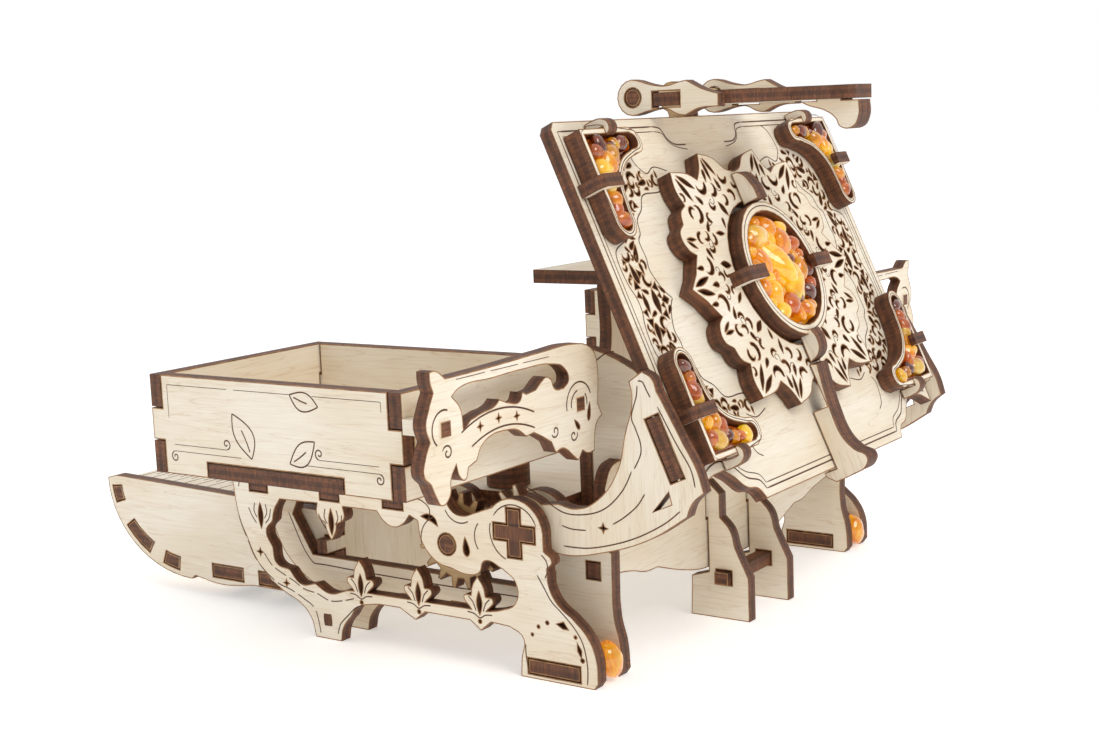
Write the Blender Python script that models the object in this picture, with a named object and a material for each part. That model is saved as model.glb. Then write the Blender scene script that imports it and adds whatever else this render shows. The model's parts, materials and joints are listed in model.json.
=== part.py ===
"""Plywood puzzle box with a geared lid, swing-out trays, a sliding drawer and a sinking stand."""
import math
import bpy
import bmesh
from mathutils import Matrix, Vector

# ------------------------------------------------------------------ driving dimensions (mm)
PLY = 3.0              # sheet thickness
GAP = 0.3              # clearance between touching pieces
HALF_W = 67.5          # centre plane to the outer face of the side frames
CAVITY = 6.6           # space between the outer and inner side plates
SHIFT_X = 46.2         # moves the bounding box centre onto X = 0
HUB_Z = 31.5           # lid axle height
HUB_R = 7.6            # round hub lobe of the side plates
OUT_Y = HALF_W - PLY / 2
INN_Y = HALF_W - PLY - CAVITY - PLY / 2
ARM_Y = 62.1           # mid plane of the lid arms and gears
PIN_X, PIN_Z = -18.4, 27.0
HUB_TEETH, IDLER_TEETH = 14, 16
LID_X, LID_Z = 41.55, 42.23      # bottom edge of the lid's front face
LID_TILT = 114.02                # degrees from +X up to the lid's length
LID_W, LID_L = 120.5, 82.4
DECK_Z = 35.1
RISER_TOP = 84.8
RISER_W = 40.0
TRAY_X0, TRAY_X1 = -62.8, 5.7
TRAY_Y0, TRAY_Y1 = -108.8, -56.9
TRAY_Z0, TRAY_Z1 = 47.6, 68.6
HINGE_X, HINGE_Y = -15.25, 48.05
DRAWER_Y = 52.8
NOSE_X, NOSE_A, NOSE_B = -114.6, 29.9, 24.4
DRAWER_TOP = 28.0
DRAWER_BACK = -63.5
MED_V = 40.8           # medallion centre along the lid
MED_R = 16.6
LATCH_X, LATCH_Z = 3.9, 122.1
LATCH_Y = 18.8

MM = 0.001
LID_FRAME = Matrix((
    (0.0, math.cos(math.radians(LID_TILT)), math.sin(math.radians(LID_TILT)), LID_X),
    (1.0, 0.0, 0.0, 0.0),
    (0.0, math.sin(math.radians(LID_TILT)), -math.cos(math.radians(LID_TILT)), LID_Z),
    (0.0, 0.0, 0.0, 1.0)))

for old in list(bpy.data.objects):
    bpy.data.objects.remove(old, do_unlink=True)
scene = bpy.context.scene
box = bpy.data.collections.new("wooden_puzzle_box")
scene.collection.children.link(box)
cutters = bpy.data.collections.new("cutters")
scene.collection.children.link(cutters)


# ------------------------------------------------------------------ materials
def material(name, colour, rough, metal=0.0):
    m = bpy.data.materials.new(name)
    m.use_nodes = True
    b = m.node_tree.nodes["Principled BSDF"]
    b.inputs["Base Color"].default_value = (*colour, 1.0)
    b.inputs["Roughness"].default_value = rough
    b.inputs["Metallic"].default_value = metal
    return m


BIRCH = ((0.80, 0.66, 0.46), 0.62)
BIRCH_DARK = ((0.60, 0.44, 0.26), 0.66)
BURNT = ((0.20, 0.10, 0.05), 0.70)
AMBER = ((0.80, 0.36, 0.04), 0.12)
AMBER_PALE = ((0.90, 0.62, 0.14), 0.14)


# ------------------------------------------------------------------ frames (local XY outline, Z thick)
def at_y(y):
    """Outline in X, Z; thickness along Y."""
    return Matrix(((1, 0, 0, 0), (0, 0, -1, y), (0, 1, 0, 0), (0, 0, 0, 1)))


def at_x(x):
    """Outline in Y, Z; thickness along X."""
    return Matrix(((0, 0, 1, x), (1, 0, 0, 0), (0, 1, 0, 0), (0, 0, 0, 1)))


def at_z(z):
    return Matrix.Translation((0, 0, z))


def on_lid(w):
    """Outline in the lid's width and length; thickness out of its front face."""
    return LID_FRAME @ Matrix.Translation((0, 0, w))


def across_lid(y):
    """Outline in the lid's length and height; thickness across its width."""
    local = Matrix(((0, 0, 1, y), (1, 0, 0, 0), (0, 1, 0, 0), (0, 0, 0, 1)))
    return LID_FRAME @ local


# ------------------------------------------------------------------ outline helpers
def arc(cx, cy, r, a0, a1, n, ry=None):
    ry = r if ry is None else ry
    return [(cx + r * math.cos(math.radians(a0 + (a1 - a0) * i / n)),
             cy + ry * math.sin(math.radians(a0 + (a1 - a0) * i / n))) for i in range(n + 1)]


def circle(cx, cy, r, n=24):
    return arc(cx, cy, r, 0, 360, n)[:-1]


def rect(x0, y0, x1, y1):
    return [(x0, y0), (x1, y0), (x1, y1), (x0, y1)]


def mirror_x(points):
    return [(-p[0],) + tuple(p[1:]) for p in reversed(points)]


def shifted(points, dx, dy):
    return [(p[0] + dx, p[1] + dy) + tuple(p[2:]) for p in points]


def plus(cx, cy, arm, half):
    a, h = arm, half
    pts = [(h, h), (h, a), (-h, a), (-h, h), (-a, h), (-a, -h),
           (-h, -h), (-h, -a), (h, -a), (h, -h), (a, -h), (a, h)]
    return [(cx + x, cy + y) for x, y in pts]


def fleur(cx, cy, s=1.0):
    """A three-petal leaf standing on a rail, read from left to right."""
    pts = [(-2.1, -2.2), (-4.0, 0.6, 1), (-2.0, 1.0), (-1.6, 3.0, 1), (0.0, 5.4),
           (1.6, 3.0, 1), (2.0, 1.0), (4.0, 0.6, 1), (2.1, -2.2)]
    return [(cx + s * p[0], cy + s * p[1]) + tuple(p[2:]) for p in pts]


def teeth(cx, cy, pitch_r, count, centre_deg, first, last):
    """Gear teeth first..last (tooth 0 is centred on centre_deg), counter-clockwise."""
    m = 2 * pitch_r / count
    step = 360.0 / count
    ra, rr = pitch_r + 0.78 * m, pitch_r - 1.05 * m
    out = []
    for k in range(first, last + 1):
        a = centre_deg + k * step
        for r, off in ((rr, -0.27), (ra, -0.105), (ra, 0.105), (rr, 0.27)):
            t = math.radians(a + off * step)
            out.append((cx + r * math.cos(t), cy + r * math.sin(t)))
    return out


# ------------------------------------------------------------------ solids
def solid(name, loops, thick, frame, smooth_steps=3):
    """Extrude closed outlines (holes by even-odd) and return a mesh in mm."""
    cu = bpy.data.curves.new(name, "CURVE")
    cu.dimensions = "2D"
    cu.fill_mode = "BOTH"
    cu.extrude = thick / 2
    cu.resolution_u = smooth_steps
    for loop in loops:
        sp = cu.splines.new("BEZIER")
        sp.bezier_points.add(len(loop) - 1)
        sp.use_cyclic_u = True
        for bp, p in zip(sp.bezier_points, loop):
            kind = "AUTO" if len(p) > 2 else "VECTOR"
            bp.co = (p[0], p[1], 0)
            bp.handle_left_type = kind
            bp.handle_right_type = kind
    ob = bpy.data.objects.new(name + "_outline", cu)
    scene.collection.objects.link(ob)
    bpy.context.view_layer.update()
    dg = bpy.context.evaluated_depsgraph_get()
    me = bpy.data.meshes.new_from_object(ob.evaluated_get(dg))
    bpy.data.objects.remove(ob, do_unlink=True)
    bpy.data.curves.remove(cu)
    bm = bmesh.new()
    bm.from_mesh(me)
    bmesh.ops.remove_doubles(bm, verts=bm.verts, dist=0.0005)
    bmesh.ops.recalc_face_normals(bm, faces=bm.faces)
    bm.to_mesh(me)
    bm.free()
    me.transform(frame)
    if frame.to_3x3().determinant() < 0:
        me.flip_normals()
    return me


def lathe(profile, steps, cx, cy, axis="Z"):
    """Turned solid from (radius, height) pairs that start and end on the axis."""
    bm = bmesh.new()
    vs = [bm.verts.new((r, 0, z)) for r, z in profile]
    es = [bm.edges.new((a, b)) for a, b in zip(vs, vs[1:])]
    bmesh.ops.spin(bm, geom=vs + es, cent=(0, 0, 0), axis=(0, 0, 1), angle=math.tau,
                   steps=steps, use_duplicate=False)
    bmesh.ops.remove_doubles(bm, verts=bm.verts, dist=0.0005)
    bmesh.ops.recalc_face_normals(bm, faces=bm.faces)
    me = bpy.data.meshes.new("turned")
    bm.to_mesh(me)
    bm.free()
    if axis == "Y":
        me.transform(Matrix(((1, 0, 0, cx), (0, 0, -1, 0), (0, 1, 0, cy), (0, 0, 0, 1))))
    else:
        me.transform(Matrix.Translation((cx, cy, 0)))
    return me


def combine(name, base, other, operation="UNION"):
    """Boolean of two meshes (exact solver)."""
    a = bpy.data.objects.new(name + "_a", base)
    b = bpy.data.objects.new(name + "_b", other)
    cutters.objects.link(a)
    cutters.objects.link(b)
    for o in (a, b):
        o.hide_render = True
        o.display_type = "WIRE"
    mod = a.modifiers.new("join", "BOOLEAN")
    mod.operation = operation
    mod.solver = "EXACT"
    mod.object = b
    bpy.context.view_layer.update()
    dg = bpy.context.evaluated_depsgraph_get()
    me = bpy.data.meshes.new_from_object(a.evaluated_get(dg))
    bpy.data.objects.remove(a, do_unlink=True)
    bpy.data.objects.remove(b, do_unlink=True)
    bm = bmesh.new()
    bm.from_mesh(me)
    bmesh.ops.remove_doubles(bm, verts=bm.verts, dist=0.0005)
    bm.to_mesh(me)
    bm.free()
    return me


SHIFT = Matrix.Translation((SHIFT_X, 0, 0))


def node(name, me, look, pivot=(0.0, 0.0, 0.0)):
    """Link a mesh (mm) as a named piece in metres with its origin on the pivot."""
    p = SHIFT @ Vector(pivot)
    me.transform(Matrix.Scale(MM, 4) @ Matrix.Translation(-p) @ SHIFT)
    me.name = name
    ob = bpy.data.objects.new(name, me)
    ob.location = p * MM
    me.materials.clear()
    me.materials.append(material(name + "_mat", *look))
    box.objects.link(ob)
    return ob


def pair(name, me, look, pivot=(0.0, 0.0, 0.0)):
    """The near piece and its mirrored far twin."""
    other = me.copy()
    other.transform(Matrix.Scale(-1, 4, (0, 1, 0)))
    other.flip_normals()
    node("near_" + name, me, look, pivot)
    node("far_" + name, other, look, (pivot[0], -pivot[1], pivot[2]))


# ------------------------------------------------------------------ side frames
FOOT_REAR = [(0.3, 0.0), (19.2, 0.0), (20.2, 1.4), (19.8, 7.2, 1), (17.6, 11.6, 1), (14.2, 14.8),
             (10.6, 17.4, 1), (8.6, 20.8, 1), (8.2, 24.6), (9.6, 26.4, 1), (7.6, 28.4)]
HUB_TOP = arc(0, HUB_Z, HUB_R, -8, 138, 12)
TOP_EDGE = [(-10.4, 34.9), (-13.8, 33.9, 1), (-16.4, 34.6, 1), (-18.6, 37.0, 1), (-23.0, 38.4, 1),
            (-27.0, 38.8), (-80.5, 38.8), (-83.2, 36.2, 1)]
FRONT_EDGE = [(-83.2, 33.0, 1), (-81.9, 26.0, 1), (-80.0, 22.0), (-77.2, 16.6, 1), (-72.6, 11.9),
              (-68.0, 9.4, 1), (-63.6, 7.6, 1), (-60.4, 4.4, 1), (-59.2, 0.0), (-51.2, 0.0),
              (-50.2, 3.6, 1), (-47.6, 6.6), (-46.0, 8.6, 1), (-41.0, 10.2, 1), (-33.0, 10.6),
              (-28.4, 8.4), (-25.6, 10.6), (-13.0, 10.6), (-10.0, 8.6), (-7.2, 10.9),
              (-2.2, 10.6), (1.2, 8.6, 1), (0.6, 4.0, 1)]
SIDE_OUTLINE = FOOT_REAR + HUB_TOP + TOP_EDGE + FRONT_EDGE

WINDOW = ([(-68.2, 32.2), (-70.2, 29.4, 1), (-71.0, 26.6), (-73.2, 24.0, 1), (-71.4, 20.2),
           (-70.6, 16.6, 1), (-66.4, 15.4), (-63.0, 12.4, 1), (-58.4, 13.0), (-54.0, 11.2, 1),
           (-48.8, 12.6)]
          + fleur(-44.4, 15.0) + fleur(-27.4, 15.2) + fleur(-10.4, 15.4)
          + [(-4.0, 14.2, 1), (-0.4, 16.2, 1), (-0.2, 20.6, 1), (-3.4, 23.2), (-8.2, 24.4, 1),
             (-9.8, 21.6, 1), (-13.6, 20.8, 1), (-17.2, 21.6), (-21.4, 22.6, 1), (-25.6, 27.0, 1),
             (-26.4, 31.4), (-28.6, 32.4), (-30.6, 30.2, 1), (-33.4, 29.2, 1), (-36.2, 30.2, 1),
             (-38.2, 32.4), (-48.4, 32.4), (-48.2, 29.6, 1), (-50.6, 28.0), (-51.0, 26.2, 1),
             (-52.4, 24.0), (-53.8, 26.2, 1), (-54.2, 28.0), (-56.6, 29.6, 1), (-56.4, 32.4)])

DECK_TABS = (-75.0, -52.4, -33.4)
TAB_W = 2.7


def tab_slots():
    return [rect(x - TAB_W - GAP, DECK_Z - PLY / 2 - GAP, x + TAB_W + GAP, DECK_Z + PLY / 2 + GAP)
            for x in DECK_TABS]


AXLE_HOLE = plus(0, HUB_Z, 5.2 + GAP, 1.6 + GAP)
FOOT_SLOT = rect(2.2, 0.9, 15.8, 4.5)
PIN_HOLE = circle(PIN_X, PIN_Z, 2.5, 16)

outer = solid("outer", [SIDE_OUTLINE, WINDOW, AXLE_HOLE, FOOT_SLOT, PIN_HOLE] + tab_slots(),
              PLY, at_y(-OUT_Y), 2)
pair("outer_side_plate", outer, BIRCH)

INNER_WINDOW = [(-73.6, 26.0), (-67.8, 16.6), (3.6, 16.6), (3.6, 21.2), (-24.0, 21.2),
                (-31.0, 31.2), (-71.0, 31.2)]
WALL_SLOT = rect(11.7, 20.6, 15.3, 24.6)
INNER_OUTLINE = ([(0.3, 0.0), (19.2, 0.0), (20.2, 1.4), (19.8, 7.2, 1), (18.6, 12.0, 1),
                  (18.2, 16.0), (18.4, 27.0), (14.0, 28.6, 1), (7.6, 30.4)]
                 + HUB_TOP + TOP_EDGE + FRONT_EDGE)
inner = solid("inner", [INNER_OUTLINE, INNER_WINDOW, AXLE_HOLE, FOOT_SLOT, PIN_HOLE, WALL_SLOT]
              + tab_slots(), PLY, at_y(-INN_Y))
pair("inner_side_plate", inner, BIRCH)

SPAN = HALF_W - (INN_Y - PLY / 2)
MID_Y = (HALF_W + INN_Y - PLY / 2) / 2
pair("foot_block", solid("block", [rect(2.5, 1.2, 15.5, 4.2)], SPAN, at_y(-MID_Y)), BURNT)
pair("cross_axle", solid("axle", [plus(0, HUB_Z, 5.2, 1.6)], SPAN, at_y(-MID_Y)), BURNT)
stone_r = CAVITY / 2 - GAP
stone = lathe([(0, 1.0), (2.0, 1.6), (stone_r, 3.6), (stone_r, 6.2), (2.0, 8.6), (0, 9.2)],
              14, 18.9, -(HALF_W - PLY - CAVITY / 2))
pair("foot_stone", stone, AMBER_PALE)

# ------------------------------------------------------------------ gears on the side pins
CENTRES = math.hypot(PIN_X, PIN_Z - HUB_Z)
IDLER_R = CENTRES * IDLER_TEETH / (IDLER_TEETH + HUB_TEETH)
GEAR_R = CENTRES - IDLER_R
MESH_DEG = math.degrees(math.atan2(PIN_Z - HUB_Z, PIN_X)) % 360
gear = solid("gear", [teeth(PIN_X, PIN_Z, IDLER_R, IDLER_TEETH, MESH_DEG - 180, 0, IDLER_TEETH - 1)],
             PLY, at_y(-ARM_Y))
pin = solid("pin", [circle(PIN_X, PIN_Z, 2.2, 16)], SPAN, at_y(-MID_Y))
pair("idler_gear", combine("gear", gear, pin), BIRCH_DARK, (PIN_X, -ARM_Y, PIN_Z))

# ------------------------------------------------------------------ deck, rear wall, spine
y_in = INN_Y - PLY / 2 - GAP
deck_edge = [(-74.5 + 1.5, -y_in)]
for x in DECK_TABS:
    deck_edge += [(x - TAB_W, -y_in), (x - TAB_W, -HALF_W), (x + TAB_W, -HALF_W), (x + TAB_W, -y_in)]
deck_edge = deck_edge[1:] + [(3.7, -y_in)]
deck_loop = deck_edge + [(p[0], -p[1]) for p in reversed(deck_edge)]
deck_loop = deck_loop[:len(deck_edge) * 2]
holes = [circle(HINGE_X, s * HINGE_Y, 3.3, 16) for s in (-1, 1)]
node("deck_plate", solid("deck", [deck_loop] + holes, PLY, at_z(DECK_Z)), BIRCH)

post_profile = [(0, DECK_Z - 1.4), (3.0, DECK_Z - 1.4), (3.0, DECK_Z + 1.8), (5.0, DECK_Z + 1.8),
                (5.0, TRAY_Z0 - 0.4), (3.0, TRAY_Z0 - 0.4), (3.0, TRAY_Z0 + 5.6), (0, TRAY_Z0 + 5.6)]
pair("hinge_post", lathe(post_profile, 16, HINGE_X, -HINGE_Y), BURNT)

WALL_X = 13.5
wall_half = [(8.0, 12.0), (14.0, 12.2, 1), (24.0, 14.4, 1), (34.0, 17.6), (39.0, 17.8, 1),
             (45.0, 19.4, 1), (y_in, 20.9), (HALF_W - PLY - CAVITY, 20.9), (HALF_W - PLY - CAVITY, 24.3),
             (y_in, 24.3), (y_in, 40.0), (52.0, 44.0, 1), (47.8, 45.0), (47.8, 38.0), (44.2, 38.0),
             (44.2, 45.0), (20.0, 45.0), (14.0, 41.0, 1)]
wall_loop = wall_half + mirror_x(wall_half)
wall_slots = [rect(s * 10 - 1.8, 23.7, s * 10 + 1.8, 31.3) for s in (-1, 1)]
node("rear_wall", solid("wall", [wall_loop] + wall_slots, PLY, at_x(WALL_X)), BIRCH)

spine_loop = [(15.3, 11.0), (10.6, 9.6), (10.2, 0.0), (25.8, 0.0), (25.8, 10.4), (22.4, 17.4),
              (21.2, 21.6, 1), (18.6, 24.4), (18.6, 30.0), (15.3, 33.0),
              (15.3, 31.0), (12.0, 31.0), (12.0, 24.0), (15.3, 24.0)]
bar_hole = rect(17.2, 8.2, 21.4, 11.8)
pair("spine_plate", solid("spine", [spine_loop, bar_hole], PLY, at_y(-10.0)), BIRCH)
node("spine_crossbar", solid("bar", [rect(17.5, 8.5, 21.1, 11.5)], 26.0, at_y(0)), BURNT)

cheek_r = 38.2
cheek_loop = ([(7.4, 30.0), (11.7, 30.0), (11.7, 38.3), (15.3, 38.3), (15.3, 30.0), (20.5, 33.0)]
              + arc(0, HUB_Z, cheek_r, 57, 78.8, 6))
pair("guide_cheek", solid("cheek", [cheek_loop], PLY, at_y(-46.0)), BIRCH)

# ------------------------------------------------------------------ sinking stand
stand_loop = [(-11.7, -RISER_W), (7.0, -RISER_W), (7.0, RISER_W), (-11.7, RISER_W)]
slots = [rect(3.7, s * 22 - 8.3, 7.4, s * 22 + 8.3) for s in (-1, 1)]
stand_loop = [(-11.7, -RISER_W), (7.0, -RISER_W), (7.0, -30.3), (3.7, -30.3), (3.7, -13.7),
              (7.0, -13.7), (7.0, 13.7), (3.7, 13.7), (3.7, 30.3), (7.0, 30.3), (7.0, RISER_W),
              (-11.7, RISER_W)]
node("stand_plate", solid("stand", [stand_loop], PLY, at_z(RISER_TOP - PLY / 2)), BIRCH)
post_half = [(0.0, 32.0), (47.4, 32.0), (47.4, 56.0), (43.0, 60.0, 1), (38.4, 66.0, 1),
             (38.0, RISER_TOP - PLY - GAP), (30.0, RISER_TOP - PLY - GAP), (30.0, RISER_TOP),
             (14.0, RISER_TOP), (14.0, RISER_TOP - PLY - GAP), (0.0, RISER_TOP - PLY - GAP)]
post_loop = post_half[1:-1] + mirror_x(post_half)[1:-1]
post_window = rect(-26, 44, 26, 68)
node("stand_post", solid("post", [post_loop, post_window], PLY, at_x(5.5)), BIRCH)

# ------------------------------------------------------------------ drawer
nose = arc(NOSE_X, DRAWER_TOP, NOSE_A, 180, 270, 14, NOSE_B)
side_loop = ([(NOSE_X - NOSE_A + 3.4, DRAWER_TOP + 0.9)] + nose
             + [(NOSE_X + 1.2, 4.6), (-104.0, 3.4, 1), (-92.0, 4.6), (DRAWER_BACK, 4.6),
                (DRAWER_BACK, DRAWER_TOP - 1.4)])
T = PLY + 0.0


def sheet_band(inset):
    """Slatted sheet of the drawer as one band: lid run, nose and floor."""
    lo = arc(NOSE_X, DRAWER_TOP, NOSE_A - inset, 186, 270, 14, NOSE_B - inset)
    hi = arc(NOSE_X, DRAWER_TOP, NOSE_A - inset - T, 270, 192, 14, NOSE_B - inset - T)
    z = DRAWER_TOP - NOSE_B + inset
    back = DRAWER_BACK - PLY - GAP
    return ([(SHEET_END, 27.2), (NOSE_X - NOSE_A + inset + 0.6, 27.2)] + lo + [(back, z), (back, z + T)] + hi
            + [(NOSE_X - NOSE_A + inset + T + 0.6, 24.2), (SHEET_END, 24.2)])


def band_piece(a0, a1, inset, grow=0.0):
    lo = arc(NOSE_X, DRAWER_TOP, NOSE_A - inset + grow, a0, a1, 3, NOSE_B - inset + grow)
    hi = arc(NOSE_X, DRAWER_TOP, NOSE_A - inset - T - grow, a1, a0, 3, NOSE_B - inset - T - grow)
    return lo + hi


INSET = 1.8
SHEET_END = -86.0
bands = ((186, 196), (214, 236), (249, 260))
z_floor = DRAWER_TOP - NOSE_B + INSET
flat_tabs = ((-106.5, -96.0), (-90.0, -80.0))
inside = DRAWER_Y - PLY / 2 - GAP
sheet = solid("sheet", [sheet_band(INSET)], 2 * inside, at_y(0))
tab_loops = [band_piece(a, b, INSET) for a, b in bands]
tab_loops += [rect(a, z_floor, b, z_floor + T) for a, b in flat_tabs]
tabs = solid("tabs", tab_loops, 2 * (DRAWER_Y + PLY / 2), at_y(0))
node("drawer_sheet", combine("sheet", sheet, tabs), BIRCH)
side_slots = [band_piece(a - 0.8, b + 0.8, INSET, GAP) for a, b in bands]
side_slots += [rect(a - GAP, z_floor - GAP, b + GAP, z_floor + T + GAP) for a, b in flat_tabs]
back_slot = [(DRAWER_BACK - PLY - GAP, 17.0), (DRAWER_BACK, 17.0)]
side_loop = side_loop[:-1] + [(DRAWER_BACK, 16.7), (DRAWER_BACK - PLY - GAP, 16.7),
                              (DRAWER_BACK - PLY - GAP, 20.7), (DRAWER_BACK, 20.7),
                              (DRAWER_BACK, DRAWER_TOP - 1.4)]
pair("drawer_side", solid("dside", [side_loop] + side_slots, PLY, at_y(-DRAWER_Y)), BIRCH)
tab_y = INN_Y + PLY / 2 - GAP
back_half = [(inside, 4.6), (inside, 17.0), (tab_y, 17.0), (tab_y, 20.4), (inside, 20.4),
             (inside, 26.4)]
node("drawer_back", solid("dback", [back_half + mirror_x(back_half)], PLY,
                          at_x(DRAWER_BACK - PLY / 2)), BIRCH)

# ------------------------------------------------------------------ swing-out trays
TH = (TRAY_Z1 - TRAY_Z0) / 3
z1, z2 = TRAY_Z0 + TH, TRAY_Z0 + 2 * TH
BAR = (-47.0, -10.0)
EAR = (HINGE_X - 8.0, HINGE_X + 8.0)


def long_wall(notch):
    a, b = TRAY_X0, TRAY_X1
    i = PLY + GAP
    zn = TRAY_Z0 + PLY + GAP
    return [(a + i, TRAY_Z0), (notch[0] - GAP, TRAY_Z0), (notch[0] - GAP, zn), (notch[1] + GAP, zn),
            (notch[1] + GAP, TRAY_Z0), (b - i, TRAY_Z0), (b - i, z1 + GAP / 2), (b, z1 + GAP / 2),
            (b, z2 - GAP / 2), (b - i, z2 - GAP / 2), (b - i, TRAY_Z1), (a + i, TRAY_Z1),
            (a + i, z2 - GAP / 2), (a, z2 - GAP / 2), (a, z1 + GAP / 2), (a + i, z1 + GAP / 2)]


def end_wall():
    a, b = TRAY_Y0, TRAY_Y1
    i = PLY + GAP
    return [(a, TRAY_Z0), (b, TRAY_Z0), (b, z1 - GAP / 2), (b - i, z1 - GAP / 2),
            (b - i, z2 + GAP / 2), (b, z2 + GAP / 2), (b, TRAY_Z1), (a, TRAY_Z1),
            (a, z2 + GAP / 2), (a + i, z2 + GAP / 2), (a + i, z1 - GAP / 2), (a, z1 - GAP / 2)]


HINGE = (HINGE_X, -HINGE_Y, TRAY_Z0)
pair("tray_front_wall", solid("tf", [long_wall(BAR)], PLY, at_y(TRAY_Y0 + PLY / 2)), BIRCH, HINGE)
pair("tray_back_wall", solid("tb", [long_wall(EAR)], PLY, at_y(TRAY_Y1 - PLY / 2)), BIRCH, HINGE)
PEGS = ((-107.4, 62.2), (-62.6, 59.6))
pair("tray_left_wall", solid("tl", [end_wall()], PLY, at_x(TRAY_X0 + PLY / 2)), BIRCH, HINGE)
pair("tray_right_wall", solid("tr", [end_wall()], PLY, at_x(TRAY_X1 - PLY / 2)), BIRCH, HINGE)
i = PLY + GAP
floor_loop = ([(TRAY_X0 + i, TRAY_Y0 + i), (BAR[0], TRAY_Y0 + i), (BAR[0], TRAY_Y0),
               (BAR[1], TRAY_Y0), (BAR[1], TRAY_Y0 + i), (TRAY_X1 - i, TRAY_Y0 + i),
               (TRAY_X1 - i, TRAY_Y1 - i), (EAR[1], TRAY_Y1 - i), (EAR[1], TRAY_Y1 + 2.0)]
              + arc(HINGE_X, -HINGE_Y, 7.6, -10, 190, 12)
              + [(EAR[0], TRAY_Y1 + 2.0), (EAR[0], TRAY_Y1 - i), (TRAY_X0 + i, TRAY_Y1 - i)])
pair("tray_floor", solid("floor", [floor_loop, circle(HINGE_X, -HINGE_Y, 3.3, 16)], PLY,
                         at_z(TRAY_Z0 + PLY / 2)), BIRCH, HINGE)

# ornate arched panel on two pegs in front of the tray's right wall
PANEL_X = 11.7
panel_loop = [(-111.0, 73.4), (-109.1, 73.4, 1), (-106.4, 71.6), (-90.7, 71.8, 1), (-74.0, 72.3, 1),
              (-64.3, 72.4, 1), (-58.3, 71.2, 1), (-55.9, 69.0, 1), (-55.1, 65.6, 1), (-55.6, 58.6),
              (-54.0, 55.8), (-56.0, 54.8, 1), (-57.2, 51.8, 1), (-57.4, 48.8), (-59.8, 48.6, 1),
              (-62.0, 49.6), (-63.6, 47.8), (-65.6, 49.2, 1), (-67.3, 50.6), (-69.2, 51.4, 1), (-71.7, 51.0),
              (-73.2, 53.4), (-76.5, 55.2, 1), (-79.1, 56.4), (-81.7, 56.1), (-84.8, 58.0, 1), (-89.2, 58.6),
              (-92.9, 58.4, 1), (-96.4, 56.8, 1), (-98.0, 54.4), (-100.6, 53.6), (-101.8, 51.4, 1),
              (-103.4, 52.2, 1), (-104.4, 54.8), (-106.0, 52.6, 1), (-106.6, 49.4, 1), (-109.0, 47.9, 1),
              (-110.8, 50.0, 1), (-112.0, 52.4), (-114.0, 54.6, 1), (-113.2, 58.0, 1), (-111.8, 60.4),
              (-112.8, 63.5, 1), (-111.7, 66.6, 1), (-110.2, 69.4), (-111.0, 71.6, 1)]
panel_window = [(-104.6, 67.9), (-102.6, 69.0, 1), (-92.1, 69.4, 1), (-82.0, 69.6, 1), (-72.1, 69.2, 1),
                (-67.4, 67.6, 1), (-66.2, 65.2, 1), (-68.0, 63.8), (-71.2, 64.2, 1), (-72.2, 66.2),
                (-74.0, 67.0, 1), (-76.0, 66.2), (-77.8, 65.0), (-81.0, 64.6), (-82.4, 65.2), (-83.4, 63.6, 1),
                (-87.5, 64.0), (-90.0, 65.0), (-91.6, 64.0, 1), (-95.6, 63.4), (-99.4, 62.6), (-101.6, 61.0),
                (-102.2, 65.2, 1)]
panel = solid("panel", [panel_loop, panel_window], PLY, at_x(PANEL_X + PLY / 2), 2)
pegs = solid("pegs", [rect(y - 1.5, z - 1.5, y + 1.5, z + 1.5) for y, z in PEGS], 9.2, at_x(PANEL_X - 1.2))
pair("tray_panel", combine("panel", panel, pegs), BIRCH, HINGE)

# ------------------------------------------------------------------ lid and its arms
LID_PIVOT = (0.0, 0.0, HUB_Z)
lid_tab = (4.6, 18.0)
half = LID_W / 2
arm_out = ARM_Y + PLY / 2
lid_right = [(36.0, -6.0), (37.6, -3.6, 1), (42.0, -2.2, 1), (45.6, 1.0, 1), (48.4, 2.8), (55.0, 2.2, 1),
             (half, -0.4), (half, lid_tab[0]), (arm_out, lid_tab[0]), (arm_out, lid_tab[1]),
             (half, lid_tab[1]), (half, LID_L - 1.6), (half - 1.6, LID_L)]
lid_loop = lid_right + mirror_x(lid_right)
node("lid_plate", solid("lid", [lid_loop], PLY, on_lid(-PLY / 2)), BIRCH, LID_PIVOT)

u = Vector((math.cos(math.radians(LID_TILT)), math.sin(math.radians(LID_TILT))))
n = Vector((u.y, -u.x))
base = Vector((LID_X, LID_Z))


def lid_point(v, w):
    p = base + u * v + n * w
    return (p.x, p.y)


arm_slot = [lid_point(lid_tab[0] - GAP, GAP), lid_point(lid_tab[1] + GAP, GAP),
            lid_point(lid_tab[1] + GAP, -PLY - GAP), lid_point(lid_tab[0] - GAP, -PLY - GAP)]
ROOT_R = GEAR_R - 1.05 * 2 * GEAR_R / HUB_TEETH
hub_step = 360.0 / HUB_TEETH
tooth_deg = MESH_DEG + hub_step / 2
arm_loop = ([(7.0, 27.2), (12.0, 27.0, 1), (19.0, 28.3, 1), (31.0, 32.4, 1), (40.4, 38.2),
             (41.6, 41.0, 1), (44.4, 43.6), (43.0, 48.0, 1), (39.6, 54.0, 1), (35.4, 61.4, 1),
             (34.2, 63.4), (33.0, 66.2, 1), (30.8, 67.4), (27.6, 65.2), (28.2, 61.6, 1),
             (26.2, 54.0, 1), (24.2, 46.6, 1), (19.2, 40.0, 1), (13.6, 37.4, 1), (9.0, 38.0)]
            + arc(0, HUB_Z, HUB_R, 52, 84, 3)
            + [(p[0], p[1]) for p in teeth(0, HUB_Z, GEAR_R, HUB_TEETH, tooth_deg, -4, 0)]
            + arc(0, HUB_Z, ROOT_R, tooth_deg + hub_step * 0.55, 322, 8))
arm_window = [(32.4, 38.6), (36.8, 40.6), (36.2, 43.0)]
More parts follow.
